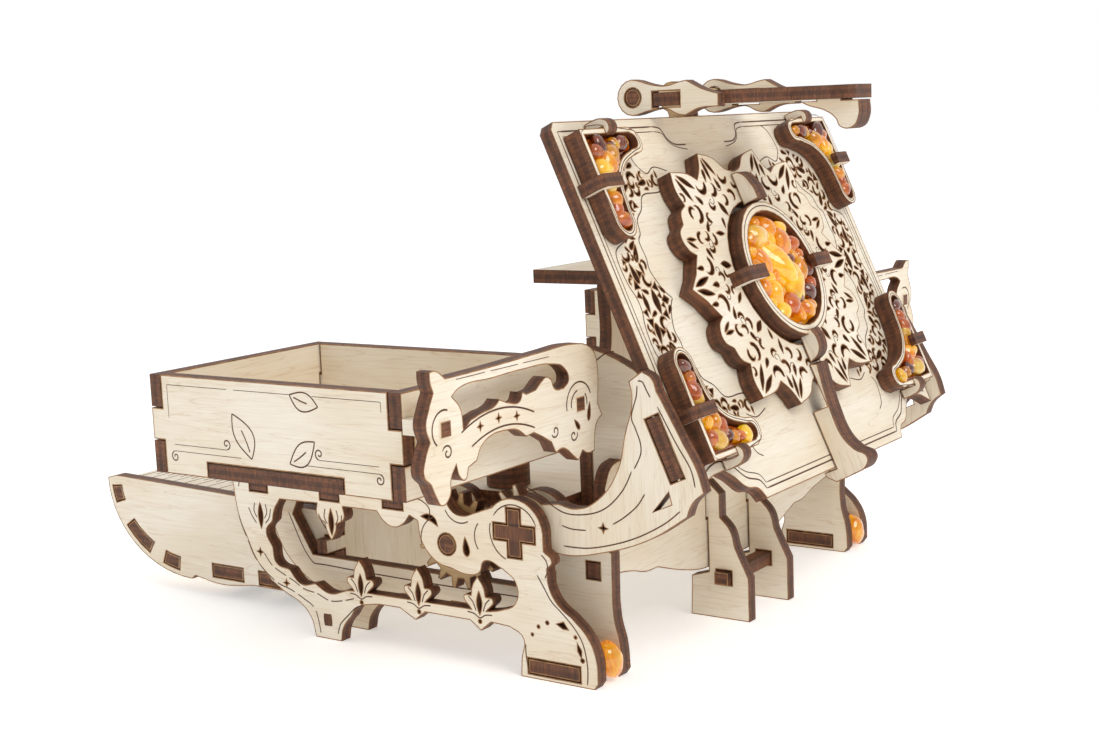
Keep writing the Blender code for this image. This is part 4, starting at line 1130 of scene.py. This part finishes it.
WINDOW = ([(-68.2, 32.2), (-70.2, 29.4, 1), (-71.0, 26.6), (-73.2, 24.0, 1), (-71.4, 20.2),
           (-70.6, 16.6, 1), (-66.4, 15.4), (-63.0, 12.4, 1), (-58.4, 13.0), (-54.0, 11.2, 1),
           (-48.8, 12.6)]
          + fleur(-44.4, 15.0) + fleur(-27.4, 15.2) + fleur(-10.4, 15.4)
          + [(-4.0, 14.2, 1), (-0.4, 16.2, 1), (-0.2, 20.6, 1), (-3.4, 23.2), (-8.2, 24.4, 1),
             (-9.8, 21.6, 1), (-13.6, 20.8, 1), (-17.2, 21.6), (-21.4, 22.6, 1), (-25.6, 27.0, 1),
             (-26.4, 31.4), (-28.6, 32.4), (-30.6, 30.2, 1), (-33.4, 29.2, 1), (-36.2, 30.2, 1),
             (-38.2, 32.4), (-48.4, 32.4), (-48.2, 29.6, 1), (-50.6, 28.0), (-51.0, 26.2, 1),
             (-52.4, 24.0), (-53.8, 26.2, 1), (-54.2, 28.0), (-56.6, 29.6, 1), (-56.4, 32.4)])

DECK_TABS = (-75.0, -52.4, -33.4)
TAB_W = 2.7


def tab_slots():
    return [rect(x - TAB_W - GAP, DECK_Z - PLY / 2 - GAP, x + TAB_W + GAP, DECK_Z + PLY / 2 + GAP)
            for x in DECK_TABS]


AXLE_HOLE = plus(0, HUB_Z, 5.2 + GAP, 1.6 + GAP)
FOOT_SLOT = rect(2.2, 0.9, 15.8, 4.5)
PIN_HOLE = circle(PIN_X, PIN_Z, 2.5, 16)

outer = solid("outer", [SIDE_OUTLINE, WINDOW, AXLE_HOLE, FOOT_SLOT, PIN_HOLE] + tab_slots(),
              PLY, at_y(-OUT_Y))
pair("outer_side_plate", outer, BIRCH)

INNER_WINDOW = [(-73.6, 26.0), (-67.8, 16.6), (3.6, 16.6), (3.6, 21.2), (-24.0, 21.2),
                (-31.0, 31.2), (-71.0, 31.2)]
WALL_SLOT = rect(11.7, 20.6, 15.3, 24.6)
INNER_OUTLINE = ([(0.3, 0.0), (19.2, 0.0), (20.2, 1.4), (19.8, 7.2, 1), (18.6, 12.0, 1),
                  (18.2, 16.0), (18.4, 27.0), (14.0, 28.6, 1), (7.6, 30.4)]
                 + HUB_TOP + TOP_EDGE + FRONT_EDGE)
inner = solid("inner", [INNER_OUTLINE, INNER_WINDOW, AXLE_HOLE, FOOT_SLOT, PIN_HOLE, WALL_SLOT]
              + tab_slots(), PLY, at_y(-INN_Y))
pair("inner_side_plate", inner, BIRCH)

SPAN = HALF_W - (INN_Y - PLY / 2)
MID_Y = (HALF_W + INN_Y - PLY / 2) / 2
pair("foot_block", solid("block", [rect(2.5, 1.2, 15.5, 4.2)], SPAN, at_y(-MID_Y)), BURNT)
pair("cross_axle", solid("axle", [plus(0, HUB_Z, 5.2, 1.6)], SPAN, at_y(-MID_Y)), BURNT)
stone_r = CAVITY / 2 - GAP
stone = pebbles([(18.9, -(HALF_W - PLY - CAVITY / 2), 5.0, stone_r, stone_r - 0.1, 4.0, 0)], 4,
                Matrix.Identity(4))
pair("foot_stone", stone, AMBER_PALE)

# ------------------------------------------------------------------ gears on the side pins
CENTRES = math.hypot(PIN_X, PIN_Z - HUB_Z)
IDLER_R = CENTRES * IDLER_TEETH / (IDLER_TEETH + HUB_TEETH)
GEAR_R = CENTRES - IDLER_R
MESH_DEG = math.degrees(math.atan2(PIN_Z - HUB_Z, PIN_X)) % 360
gear = solid("gear", [teeth(PIN_X, PIN_Z, IDLER_R, IDLER_TEETH, MESH_DEG - 180, 0, IDLER_TEETH - 1)],
             PLY, at_y(-ARM_Y))
pin = solid("pin", [circle(PIN_X, PIN_Z, 2.2, 16)], SPAN, at_y(-MID_Y))
pair("idler_gear", combine("gear", gear, pin), BIRCH_DARK)

# ------------------------------------------------------------------ deck, rear wall, spine
y_in = INN_Y - PLY / 2 - GAP
deck_edge = [(-74.5 + 1.5, -y_in)]
for x in DECK_TABS:
    deck_edge += [(x - TAB_W, -y_in), (x - TAB_W, -HALF_W), (x + TAB_W, -HALF_W), (x + TAB_W, -y_in)]
deck_edge = deck_edge[1:] + [(3.7, -y_in)]
deck_loop = deck_edge + [(p[0], -p[1]) for p in reversed(deck_edge)]
deck_loop = deck_loop[:len(deck_edge) * 2]
holes = [circle(HINGE_X, s * HINGE_Y, 3.3, 16) for s in (-1, 1)]
node("deck_plate", solid("deck", [deck_loop] + holes, PLY, at_z(DECK_Z)), BIRCH)

post_profile = [(0, DECK_Z - 1.4), (3.0, DECK_Z - 1.4), (3.0, DECK_Z + 1.8), (5.0, DECK_Z + 1.8),
                (5.0, TRAY_Z0 - 0.4), (3.0, TRAY_Z0 - 0.4), (3.0, TRAY_Z0 + 5.6), (0, TRAY_Z0 + 5.6)]
pair("hinge_post", lathe(post_profile, 16, HINGE_X, -HINGE_Y), BURNT)

WALL_X = 13.5
wall_half = [(8.0, 12.0), (14.0, 12.2, 1), (24.0, 14.4, 1), (34.0, 17.6), (39.0, 17.8, 1),
             (45.0, 19.4, 1), (y_in, 20.9), (HALF_W - PLY - CAVITY, 20.9), (HALF_W - PLY - CAVITY, 24.3),
             (y_in, 24.3), (y_in, 40.0), (52.0, 44.0, 1), (47.8, 45.0), (47.8, 38.0), (44.2, 38.0),
             (44.2, 45.0), (20.0, 45.0), (14.0, 41.0, 1)]
wall_loop = wall_half + mirror_x(wall_half)
wall_slots = [rect(s * 10 - 1.8, 23.7, s * 10 + 1.8, 31.3) for s in (-1, 1)]
node("rear_wall", solid("wall", [wall_loop] + wall_slots, PLY, at_x(WALL_X)), BIRCH)

spine_loop = [(15.3, 11.0), (10.6, 9.6), (10.2, 0.0), (25.8, 0.0), (25.8, 10.4), (22.4, 17.4),
              (21.2, 21.6, 1), (18.6, 24.4), (18.6, 30.0), (15.3, 33.0),
              (15.3, 31.0), (12.0, 31.0), (12.0, 24.0), (15.3, 24.0)]
bar_hole = rect(17.2, 8.2, 21.4, 11.8)
pair("spine_plate", solid("spine", [spine_loop, bar_hole], PLY, at_y(-10.0)), BIRCH)
node("spine_crossbar", solid("bar", [rect(17.5, 8.5, 21.1, 11.5)], 26.0, at_y(0)), BURNT)

cheek_r = 38.2
cheek_loop = ([(7.4, 30.0), (11.7, 30.0), (11.7, 38.3), (15.3, 38.3), (15.3, 30.0), (20.5, 33.0)]
              + arc(0, HUB_Z, cheek_r, 57, 78.8, 6))
pair("guide_cheek", solid("cheek", [cheek_loop], PLY, at_y(-46.0)), BIRCH)

# ------------------------------------------------------------------ sinking stand
stand_loop = [(-11.7, -RISER_W), (7.0, -RISER_W), (7.0, RISER_W), (-11.7, RISER_W)]
stand_loop = [(-11.7, -RISER_W), (7.0, -RISER_W), (7.0, -30.3), (3.7, -30.3), (3.7, -13.7),
              (7.0, -13.7), (7.0, 13.7), (3.7, 13.7), (3.7, 30.3), (7.0, 30.3), (7.0, RISER_W),
              (-11.7, RISER_W)]
node("stand_plate", solid("stand", [stand_loop], PLY, at_z(RISER_TOP - PLY / 2)), BIRCH)
post_half = [(0.0, 32.0), (47.4, 32.0), (47.4, 56.0), (43.0, 60.0, 1), (38.4, 66.0, 1),
             (38.0, RISER_TOP - PLY - GAP), (30.0, RISER_TOP - PLY - GAP), (30.0, RISER_TOP),
             (14.0, RISER_TOP), (14.0, RISER_TOP - PLY - GAP), (0.0, RISER_TOP - PLY - GAP)]
post_loop = post_half[1:-1] + mirror_x(post_half)[1:-1]
post_window = rect(-26, 44, 26, 68)
node("stand_post", solid("post", [post_loop, post_window], PLY, at_x(5.5)), BIRCH)

# ------------------------------------------------------------------ drawer
nose = arc(NOSE_X, DRAWER_TOP, NOSE_A, 180, 270, 14, NOSE_B)
side_loop = ([(NOSE_X - NOSE_A + 3.4, DRAWER_TOP + 0.9)] + nose
             + [(NOSE_X + 1.2, 4.6), (-104.0, 3.4, 1), (-92.0, 4.6), (DRAWER_BACK, 4.6),
                (DRAWER_BACK, DRAWER_TOP - 1.4)])
T = PLY + 0.0


def sheet_band(inset):
    """Slatted sheet of the drawer as one band: lid run, nose and floor."""
    lo = arc(NOSE_X, DRAWER_TOP, NOSE_A - inset, 186, 270, 14, NOSE_B - inset)
    hi = arc(NOSE_X, DRAWER_TOP, NOSE_A - inset - T, 270, 192, 14, NOSE_B - inset - T)
    z = DRAWER_TOP - NOSE_B + inset
    back = DRAWER_BACK - PLY - GAP
    return ([(SHEET_END, 27.2), (NOSE_X - NOSE_A + inset + 0.6, 27.2)] + lo + [(back, z), (back, z + T)] + hi
            + [(NOSE_X - NOSE_A + inset + T + 0.6, 24.2), (SHEET_END, 24.2)])


def band_piece(a0, a1, inset, grow=0.0):
    lo = arc(NOSE_X, DRAWER_TOP, NOSE_A - inset + grow, a0, a1, 3, NOSE_B - inset + grow)
    hi = arc(NOSE_X, DRAWER_TOP, NOSE_A - inset - T - grow, a1, a0, 3, NOSE_B - inset - T - grow)
    return lo + hi


INSET = 1.8
SHEET_END = -86.0
bands = ((186, 196), (214, 236), (249, 260))
z_floor = DRAWER_TOP - NOSE_B + INSET
flat_tabs = ((-106.5, -96.0), (-90.0, -80.0))
inside = DRAWER_Y - PLY / 2 - GAP
sheet = solid("sheet", [sheet_band(INSET)], 2 * inside, at_y(0))
tab_loops = [band_piece(a, b, INSET) for a, b in bands]
tab_loops += [rect(a, z_floor, b, z_floor + T) for a, b in flat_tabs]
tabs = solid("tabs", tab_loops, 2 * (DRAWER_Y + PLY / 2), at_y(0))
node("drawer_sheet", combine("sheet", sheet, tabs), BIRCH)
side_slots = [band_piece(a - 0.8, b + 0.8, INSET, GAP) for a, b in bands]
side_slots += [rect(a - GAP, z_floor - GAP, b + GAP, z_floor + T + GAP) for a, b in flat_tabs]
side_loop = side_loop[:-1] + [(DRAWER_BACK, 16.7), (DRAWER_BACK - PLY - GAP, 16.7),
                              (DRAWER_BACK - PLY - GAP, 20.7), (DRAWER_BACK, 20.7),
                              (DRAWER_BACK, DRAWER_TOP - 1.4)]
pair("drawer_side", solid("dside", [side_loop] + side_slots, PLY, at_y(-DRAWER_Y)), BIRCH)
tab_y = INN_Y + PLY / 2 - GAP
back_half = [(inside, 4.6), (inside, 17.0), (tab_y, 17.0), (tab_y, 20.4), (inside, 20.4),
             (inside, 26.4)]
node("drawer_back", solid("dback", [back_half + mirror_x(back_half)], PLY,
                          at_x(DRAWER_BACK - PLY / 2)), BIRCH)

# ------------------------------------------------------------------ swing-out trays
TH = (TRAY_Z1 - TRAY_Z0) / 3
z1, z2 = TRAY_Z0 + TH, TRAY_Z0 + 2 * TH
BAR = (-47.0, -10.0)
EAR = (HINGE_X - 8.0, HINGE_X + 8.0)


def long_wall(notch):
    a, b = TRAY_X0, TRAY_X1
    i = PLY + GAP
    zn = TRAY_Z0 + PLY + GAP
    return [(a + i, TRAY_Z0), (notch[0] - GAP, TRAY_Z0), (notch[0] - GAP, zn), (notch[1] + GAP, zn),
            (notch[1] + GAP, TRAY_Z0), (b - i, TRAY_Z0), (b - i, z1 + GAP / 2), (b, z1 + GAP / 2),
            (b, z2 - GAP / 2), (b - i, z2 - GAP / 2), (b - i, TRAY_Z1), (a + i, TRAY_Z1),
            (a + i, z2 - GAP / 2), (a, z2 - GAP / 2), (a, z1 + GAP / 2), (a + i, z1 + GAP / 2)]


def end_wall():
    a, b = TRAY_Y0, TRAY_Y1
    i = PLY + GAP
    return [(a, TRAY_Z0), (b, TRAY_Z0), (b, z1 - GAP / 2), (b - i, z1 - GAP / 2),
            (b - i, z2 + GAP / 2), (b, z2 + GAP / 2), (b, TRAY_Z1), (a, TRAY_Z1),
            (a, z2 + GAP / 2), (a + i, z2 + GAP / 2), (a + i, z1 - GAP / 2), (a, z1 - GAP / 2)]


pair("tray_front_wall", solid("tf", [long_wall(BAR)], PLY, at_y(TRAY_Y0 + PLY / 2)), BIRCH)
pair("tray_back_wall", solid("tb", [long_wall(EAR)], PLY, at_y(TRAY_Y1 - PLY / 2)), BIRCH)
PEGS = ((-107.4, 62.2), (-62.6, 59.6))
engrave_panel(PEGS)
pair("tray_left_wall", solid("tl", [end_wall()], PLY, at_x(TRAY_X0 + PLY / 2)), BIRCH)
pair("tray_right_wall", solid("tr", [end_wall()], PLY, at_x(TRAY_X1 - PLY / 2)), BIRCH)
i = PLY + GAP
floor_loop = ([(TRAY_X0 + i, TRAY_Y0 + i), (BAR[0], TRAY_Y0 + i), (BAR[0], TRAY_Y0),
               (BAR[1], TRAY_Y0), (BAR[1], TRAY_Y0 + i), (TRAY_X1 - i, TRAY_Y0 + i),
               (TRAY_X1 - i, TRAY_Y1 - i), (EAR[1], TRAY_Y1 - i), (EAR[1], TRAY_Y1 + 2.0)]
              + arc(HINGE_X, -HINGE_Y, 7.6, -10, 190, 12)
              + [(EAR[0], TRAY_Y1 + 2.0), (EAR[0], TRAY_Y1 - i), (TRAY_X0 + i, TRAY_Y1 - i)])
pair("tray_floor", solid("floor", [floor_loop, circle(HINGE_X, -HINGE_Y, 3.3, 16)], PLY,
                         at_z(TRAY_Z0 + PLY / 2)), BIRCH)

# ornate arched panel on two pegs in front of the tray's right wall
PANEL_X = 11.7
panel_loop = [(-111.0, 73.4), (-109.1, 73.4, 1), (-106.4, 71.6), (-90.7, 71.8, 1), (-74.0, 72.3, 1),
              (-64.3, 72.4, 1), (-58.3, 71.2, 1), (-55.9, 69.0, 1), (-55.1, 65.6, 1), (-55.6, 58.6),
              (-54.0, 55.8), (-56.0, 54.8, 1), (-57.2, 51.8, 1), (-57.4, 48.8), (-59.8, 48.6, 1),
              (-62.0, 49.6), (-63.6, 47.8), (-65.6, 49.2, 1), (-67.3, 50.6), (-69.2, 51.4, 1), (-71.7, 51.0),
              (-73.2, 53.4), (-76.5, 55.2, 1), (-79.1, 56.4), (-81.7, 56.1), (-84.8, 58.0, 1), (-89.2, 58.6),
              (-92.9, 58.4, 1), (-96.4, 56.8, 1), (-98.0, 54.4), (-100.6, 53.6), (-101.8, 51.4, 1),
              (-103.4, 52.2, 1), (-104.4, 54.8), (-106.0, 52.6, 1), (-106.6, 49.4, 1), (-109.0, 47.9, 1),
              (-110.8, 50.0, 1), (-112.0, 52.4), (-114.0, 54.6, 1), (-113.2, 58.0, 1), (-111.8, 60.4),
              (-112.8, 63.5, 1), (-111.7, 66.6, 1), (-110.2, 69.4), (-111.0, 71.6, 1)]
panel_window = [(-104.6, 67.9), (-102.6, 69.0, 1), (-92.1, 69.4, 1), (-82.0, 69.6, 1), (-72.1, 69.2, 1),
                (-67.4, 67.6, 1), (-66.2, 65.2, 1), (-68.0, 63.8), (-71.2, 64.2, 1), (-72.2, 66.2),
                (-74.0, 67.0, 1), (-76.0, 66.2), (-77.8, 65.0), (-81.0, 64.6), (-82.4, 65.2),
                (-83.4, 63.6, 1),
                (-87.5, 64.0), (-90.0, 65.0), (-91.6, 64.0, 1), (-95.6, 63.4), (-99.4, 62.6), (-101.6, 61.0),
                (-102.2, 65.2, 1)]
panel = solid("panel", [panel_loop, panel_window], PLY, at_x(PANEL_X + PLY / 2))
pegs = solid("pegs", [rect(y - 1.5, z - 1.5, y + 1.5, z + 1.5) for y, z in PEGS], 9.2, at_x(PANEL_X - 1.2))
pair("tray_panel", combine("panel", panel, pegs), BIRCH)

# ------------------------------------------------------------------ lid and its arms
lid_tab = (4.6, 18.0)
half = LID_W / 2
arm_out = ARM_Y + PLY / 2
lid_right = [(36.0, -6.0), (37.6, -3.6, 1), (42.0, -2.2, 1), (45.6, 1.0, 1), (48.4, 2.8), (55.0, 2.2, 1),
             (half, -0.4), (half, lid_tab[0]), (arm_out, lid_tab[0]), (arm_out, lid_tab[1]),
             (half, lid_tab[1]), (half, LID_L - 1.6), (half - 1.6, LID_L)]
lid_loop = lid_right + mirror_x(lid_right)
node("lid_plate", solid("lid", [lid_loop], PLY, on_lid(-PLY / 2)), BIRCH)

u = Vector((math.cos(math.radians(LID_TILT)), math.sin(math.radians(LID_TILT))))
n = Vector((u.y, -u.x))
base = Vector((LID_X, LID_Z))


def lid_point(v, w):
    p = base + u * v + n * w
    return (p.x, p.y)


arm_slot = [lid_point(lid_tab[0] - GAP, GAP), lid_point(lid_tab[1] + GAP, GAP),
            lid_point(lid_tab[1] + GAP, -PLY - GAP), lid_point(lid_tab[0] - GAP, -PLY - GAP)]
ROOT_R = GEAR_R - 1.05 * 2 * GEAR_R / HUB_TEETH
hub_step = 360.0 / HUB_TEETH
tooth_deg = MESH_DEG + hub_step / 2
arm_loop = ([(7.0, 27.2), (12.0, 27.0, 1), (19.0, 28.3, 1), (31.0, 32.4, 1), (40.4, 38.2),
             (41.6, 41.0, 1), (44.4, 43.6), (43.0, 48.0, 1), (39.6, 54.0, 1), (35.4, 61.4, 1),
             (34.2, 63.4), (33.0, 66.2, 1), (30.8, 67.4), (27.6, 65.2), (28.2, 61.6, 1),
             (26.2, 54.0, 1), (24.2, 46.6, 1), (19.2, 40.0, 1), (13.6, 37.4, 1), (9.0, 38.0)]
            + arc(0, HUB_Z, HUB_R, 52, 84, 3)
            + [(p[0], p[1]) for p in teeth(0, HUB_Z, GEAR_R, HUB_TEETH, tooth_deg, -4, 0)]
            + arc(0, HUB_Z, ROOT_R, tooth_deg + hub_step * 0.55, 322, 8))
arm_window = [(32.4, 38.6), (36.8, 40.6), (36.2, 43.0)]
arm_bore = circle(0, HUB_Z, 5.8, 20)
arm = solid("arm", [arm_loop, arm_slot, arm_window, arm_bore], PLY, at_y(-ARM_Y))
pair("lid_arm", arm, BIRCH)

# rosette ring around the medallion: upper quarter from the centre line, mirrored twice
quarter = [(3.4, 26.4, 1), (7.0, 29.2, 1), (13.0, 30.7), (15.2, 26.8, 1), (17.8, 24.4), (21.0, 26.0, 1),
           (28.0, 26.8), (28.8, 22.4, 1), (27.6, 18.8), (30.4, 17.2, 1), (31.4, 14.6), (34.2, 12.4, 1),
           (33.4, 8.8, 1), (31.0, 7.2), (32.8, 5.2, 1), (34.4, 3.2)]


def rosette_outline():
    def turned(points, sx, sy):
        return [(sx * p[0], MED_V + sy * p[1]) + tuple(p[2:]) for p in points]
    back = quarter[::-1]
    return (turned(quarter, 1, 1) + [(38.5, MED_V)] + turned(back, 1, -1) + [(0.0, MED_V - 25.6)]
            + turned(quarter, -1, -1) + [(-38.5, MED_V)] + turned(back, -1, 1) + [(0.0, MED_V + 25.6)])


rosette = solid("rosette", [rosette_outline(), circle(0, MED_V, 18.0, 32)], 3.6, on_lid(GAP + 1.8))
node("lid_rosette", rosette, BIRCH)
bezel = solid("bezel", [circle(0, MED_V, MED_R, 32), circle(0, MED_V, MED_R - 2.4, 32)], 6.4,
              on_lid(GAP + 3.2))
node("medallion_bezel", bezel, BIRCH)
node("medallion_stone", medallion_chips(), AMBER)

# four corner settings: an open curved frame with its stones inside
corner = [(0.0, 0.0), (18.6, 0.0), (21.6, 1.8, 1), (21.4, 5.2, 1), (17.6, 6.4), (12.0, 8.6, 1),
          (8.4, 12.6, 1), (7.2, 18.6), (6.6, 22.6, 1), (3.4, 24.4, 1), (0.4, 22.4, 1), (0.0, 19.0)]
core = [(1.3, 1.3), (18.5, 1.3), (20.3, 2.5, 1), (20.0, 4.3, 1), (16.9, 5.2), (11.1, 7.5, 1),
        (7.2, 11.9, 1), (6.0, 18.3), (5.5, 21.8, 1), (3.4, 23.0, 1), (1.4, 21.8, 1), (1.3, 19.0)]
gem = [(1.6, 1.6), (18.4, 1.6), (19.9, 2.6, 1), (19.6, 4.0, 1), (16.7, 4.9), (10.8, 7.2, 1),
       (6.9, 11.7, 1), (5.7, 18.1), (5.2, 21.5, 1), (3.4, 22.6, 1), (1.7, 21.5, 1), (1.6, 18.8)]


def placed(points, sx, sy, cx, cy):
    out = [(cx + sx * p[0], cy + sy * p[1]) + tuple(p[2:]) for p in points]
    return out if sx * sy > 0 else out[::-1]


for tag, sy in (("lower", 1), ("upper", -1)):
    cx, cy = -57.4, (5.2 if sy > 0 else 78.6)
    mid = [((a[0] + b[0]) / 2, (a[1] + b[1]) / 2) for a, b in zip(corner, core)]
    mid = [(cx + q[0], cy + sy * q[1]) for q in spline(mid, 5, True)]
    LINES["corner"] = [(mid + mid[:1], 0.22)]
    ring = solid("corner", [placed(corner, 1, sy, cx, cy), placed(core, 1, sy, cx, cy)], 4.2,
                 on_lid(GAP + 2.1))
    pair(tag + "_corner_bezel", ring, BIRCH)
    gems = corner_chips(sy, cx, cy, 20 + sy)
    pair(tag + "_corner_stones", gems, AMBER)

# fins standing on the lid's centre line
low_fin = [(18.0, 4.2), (17.4, 6.0), (12.0, 5.2, 1), (6.0, 4.6, 1), (0.0, 4.8, 1), (-3.6, 6.4, 1),
           (-6.2, 8.6, 1), (-8.2, 7.4, 1), (-8.9, 4.0, 1), (-9.2, -1.0), (-7.4, -3.0), (-6.3, -3.0),
           (-6.3, GAP), (7.6, GAP), (7.6, 4.2)]
node("lower_fin", solid("lfin", [low_fin], 5.4, across_lid(0)), BIRCH)
up_fin = [(MED_V + MED_R + GAP, 4.2), (65.6, 4.2), (65.2, 6.0, 1), (61.6, 8.0, 1),
          (MED_V + MED_R + GAP, 8.4)]
node("upper_fin", solid("ufin", [up_fin], 4.4, across_lid(0)), BIRCH)

# ------------------------------------------------------------------ latch on the lid's free edge
c = LATCH_Z
lug_loop = ([lid_point(71.0, -PLY - GAP), lid_point(LID_L + GAP, -PLY - GAP),
             lid_point(LID_L + GAP, -0.4), lid_point(LID_L + 3.0, 0.2)]
            + arc(LATCH_X, c, 3.6, 20, 250, 10) + [lid_point(81.0, -PLY - 1.8), lid_point(71.6, -PLY - 1.8)])
lug = solid("lug", [lug_loop], 6.0, at_y(0))
rod = solid("rod", [circle(LATCH_X, c, 1.9, 16)], 2 * (LATCH_Y + PLY / 2), at_y(0))
node("latch_lug", combine("lug", lug, rod), BIRCH_DARK)

cheek_pts = (arc(0, 0, 4.1, 70, 290, 10)
             + [(5.4, -2.9, 1), (8.6, -2.8, 1), (12.0, -4.2, 1), (13.6, -4.4), (17.0, -3.0, 1),
                (22.0, -2.7), (22.0, 0.2), (18.0, 1.4, 1), (14.0, 3.4), (12.6, 3.2, 1), (8.6, 2.4, 1),
                (5.0, 2.8, 1)])
tenon = rect(5.4 - GAP, -2.1 - GAP, 12.0 + GAP, 0.9 + GAP)
cheek = solid("latch_cheek", [shifted(cheek_pts, LATCH_X, c), circle(LATCH_X, c, 2.2, 16),
                              shifted(tenon, LATCH_X, c)], PLY, at_y(-LATCH_Y))
pair("latch_cheek", cheek, BIRCH)
yi = LATCH_Y - PLY / 2 - GAP
tip = 51.0
x0 = LATCH_X + 5.4
tongue_half = [(tip, 4.2), (tip - 1.4, 5.2), (tip - 5.0, 5.4), (41.0, 8.6, 1), (36.0, 10.4, 1),
               (31.0, 14.6, 1), (27.0, yi), (x0 + 6.6, yi), (x0 + 6.6, LATCH_Y + PLY / 2),
               (x0, LATCH_Y + PLY / 2), (x0, 6.0)]
tongue_loop = tongue_half + [(p[0], -p[1]) + tuple(p[2:]) for p in reversed(tongue_half)]
node("latch_tongue", solid("tongue", [tongue_loop, rect(tip - 10.3, -3.3, tip - 3.7, 3.3)], PLY,
                           at_z(c - 0.6)), BIRCH)
hook = [(tip - 10.0, c + 0.9), (tip - 10.0, c - 2.4), (tip - 14.0, c - 2.4), (tip - 12.0, c - 3.4, 1),
        (tip - 8.0, c - 4.6, 1), (tip - 5.4, c - 6.4, 1), (tip - 4.4, c - 8.2, 1), (tip - 1.4, c - 8.4, 1),
        (tip + 0.2, c - 6.0, 1), (tip + 0.2, c - 2.4), (tip - 4.0, c - 2.4), (tip - 4.0, c + 0.9)]
node("latch_hook", solid("hook", [hook], 6.0, at_y(0)), BIRCH)

# ------------------------------------------------------------------ floor, light, camera
def backdrop():
    bm = bmesh.new()
    vs = [bm.verts.new(p) for p in ((-9, -9, 0), (9, -9, 0), (9, 9, 0), (-9, 9, 0))]
    bm.faces.new(vs)
    me = bpy.data.meshes.new("floor")
    bm.to_mesh(me)
    bm.free()
    n = Nodes("pale_floor", 0.85)
    tc = n.t.nodes.new("ShaderNodeTexCoord")
    k = n.noise(tc, "Object", 6.0, 3)
    r = n.ramp(k, "Fac", [(0.3, (0.93, 0.93, 0.93)), (0.7, (0.96, 0.96, 0.96))])
    n.link(r, "Color", n.b, "Base Color")
    n.rough(k, "Fac", 0.8, 0.9)
    n.b.inputs["Emission Color"].default_value = (1.0, 1.0, 1.0, 1.0)
    n.b.inputs["Emission Strength"].default_value = 0.38
    me.materials.append(n.m)
    ob = bpy.data.objects.new("floor", me)
    scene.collection.objects.link(ob)


def area(name, place, aim, size, watts, colour=(1.0, 1.0, 1.0)):
    li = bpy.data.lights.new(name, "AREA")
    li.shape = "DISK"
    li.size = size
    li.energy = watts
    li.color = colour
    ob = bpy.data.objects.new(name, li)
    ob.location = place
    ob.rotation_euler = (Vector(aim) - Vector(place)).to_track_quat("-Z", "Y").to_euler()
    scene.collection.objects.link(ob)


backdrop()
area("key", (0.80, -0.26, 0.80), (0.02, 0.0, 0.06), 0.6, KEY_W, (1.0, 0.985, 0.96))
area("side", (-0.75, -0.65, 0.6), (0.0, 0.0, 0.05), 0.5, FILL_W, (1.0, 0.99, 0.97))
world = bpy.data.worlds.new("studio")
world.use_nodes = True
wt = world.node_tree
tc = wt.nodes.new("ShaderNodeTexCoord")
dot = wt.nodes.new("ShaderNodeVectorMath")
dot.operation = "DOT_PRODUCT"
dot.inputs[1].default_value = (-0.575, 0.818, 0.0)
wr = wt.nodes.new("ShaderNodeMapRange")
wr.inputs["From Min"].default_value = -0.8
wr.inputs["From Max"].default_value = 0.75
wr.inputs["To Min"].default_value = WORLD_DIM
wr.inputs["To Max"].default_value = 1.0
wt.links.new(tc.outputs["Generated"], dot.inputs[0])
wt.links.new(dot.outputs["Value"], wr.inputs["Value"])
wt.links.new(wr.outputs["Result"], wt.nodes["Background"].inputs["Strength"])
wt.nodes["Background"].inputs["Color"].default_value = (1.0, 1.0, 1.0, 1.0)
scene.world = world
scene.view_settings.view_transform = "Standard"

CAM_YAW, CAM_PITCH, CAM_ROLL = 35.07, 8.46, -2.37
ya, pa, ra = (math.radians(q) for q in (CAM_YAW, CAM_PITCH, CAM_ROLL))
fwd = Vector((-math.sin(ya) * math.cos(pa), math.cos(ya) * math.cos(pa), -math.sin(pa)))
right = Vector((math.cos(ya), math.sin(ya), 0.0))
up = right.cross(fwd)
r2 = math.cos(ra) * right + math.sin(ra) * up
u2 = -math.sin(ra) * right + math.cos(ra) * up
cam = bpy.data.objects.new("camera", bpy.data.cameras.new("camera"))
cam.data.lens = 54.24
cam.data.sensor_width = 36.0
cam.data.clip_start = 0.01
cam.matrix_world = Matrix(((r2.x, u2.x, -fwd.x, (204.51 + SHIFT_X) * MM), (r2.y, u2.y, -fwd.y, -0.3429),
                           (r2.z, u2.z, -fwd.z, 0.11809), (0, 0, 0, 1)))
scene.collection.objects.link(cam)
bpy.context.scene.camera = cam
bpy.context.view_layer.update()
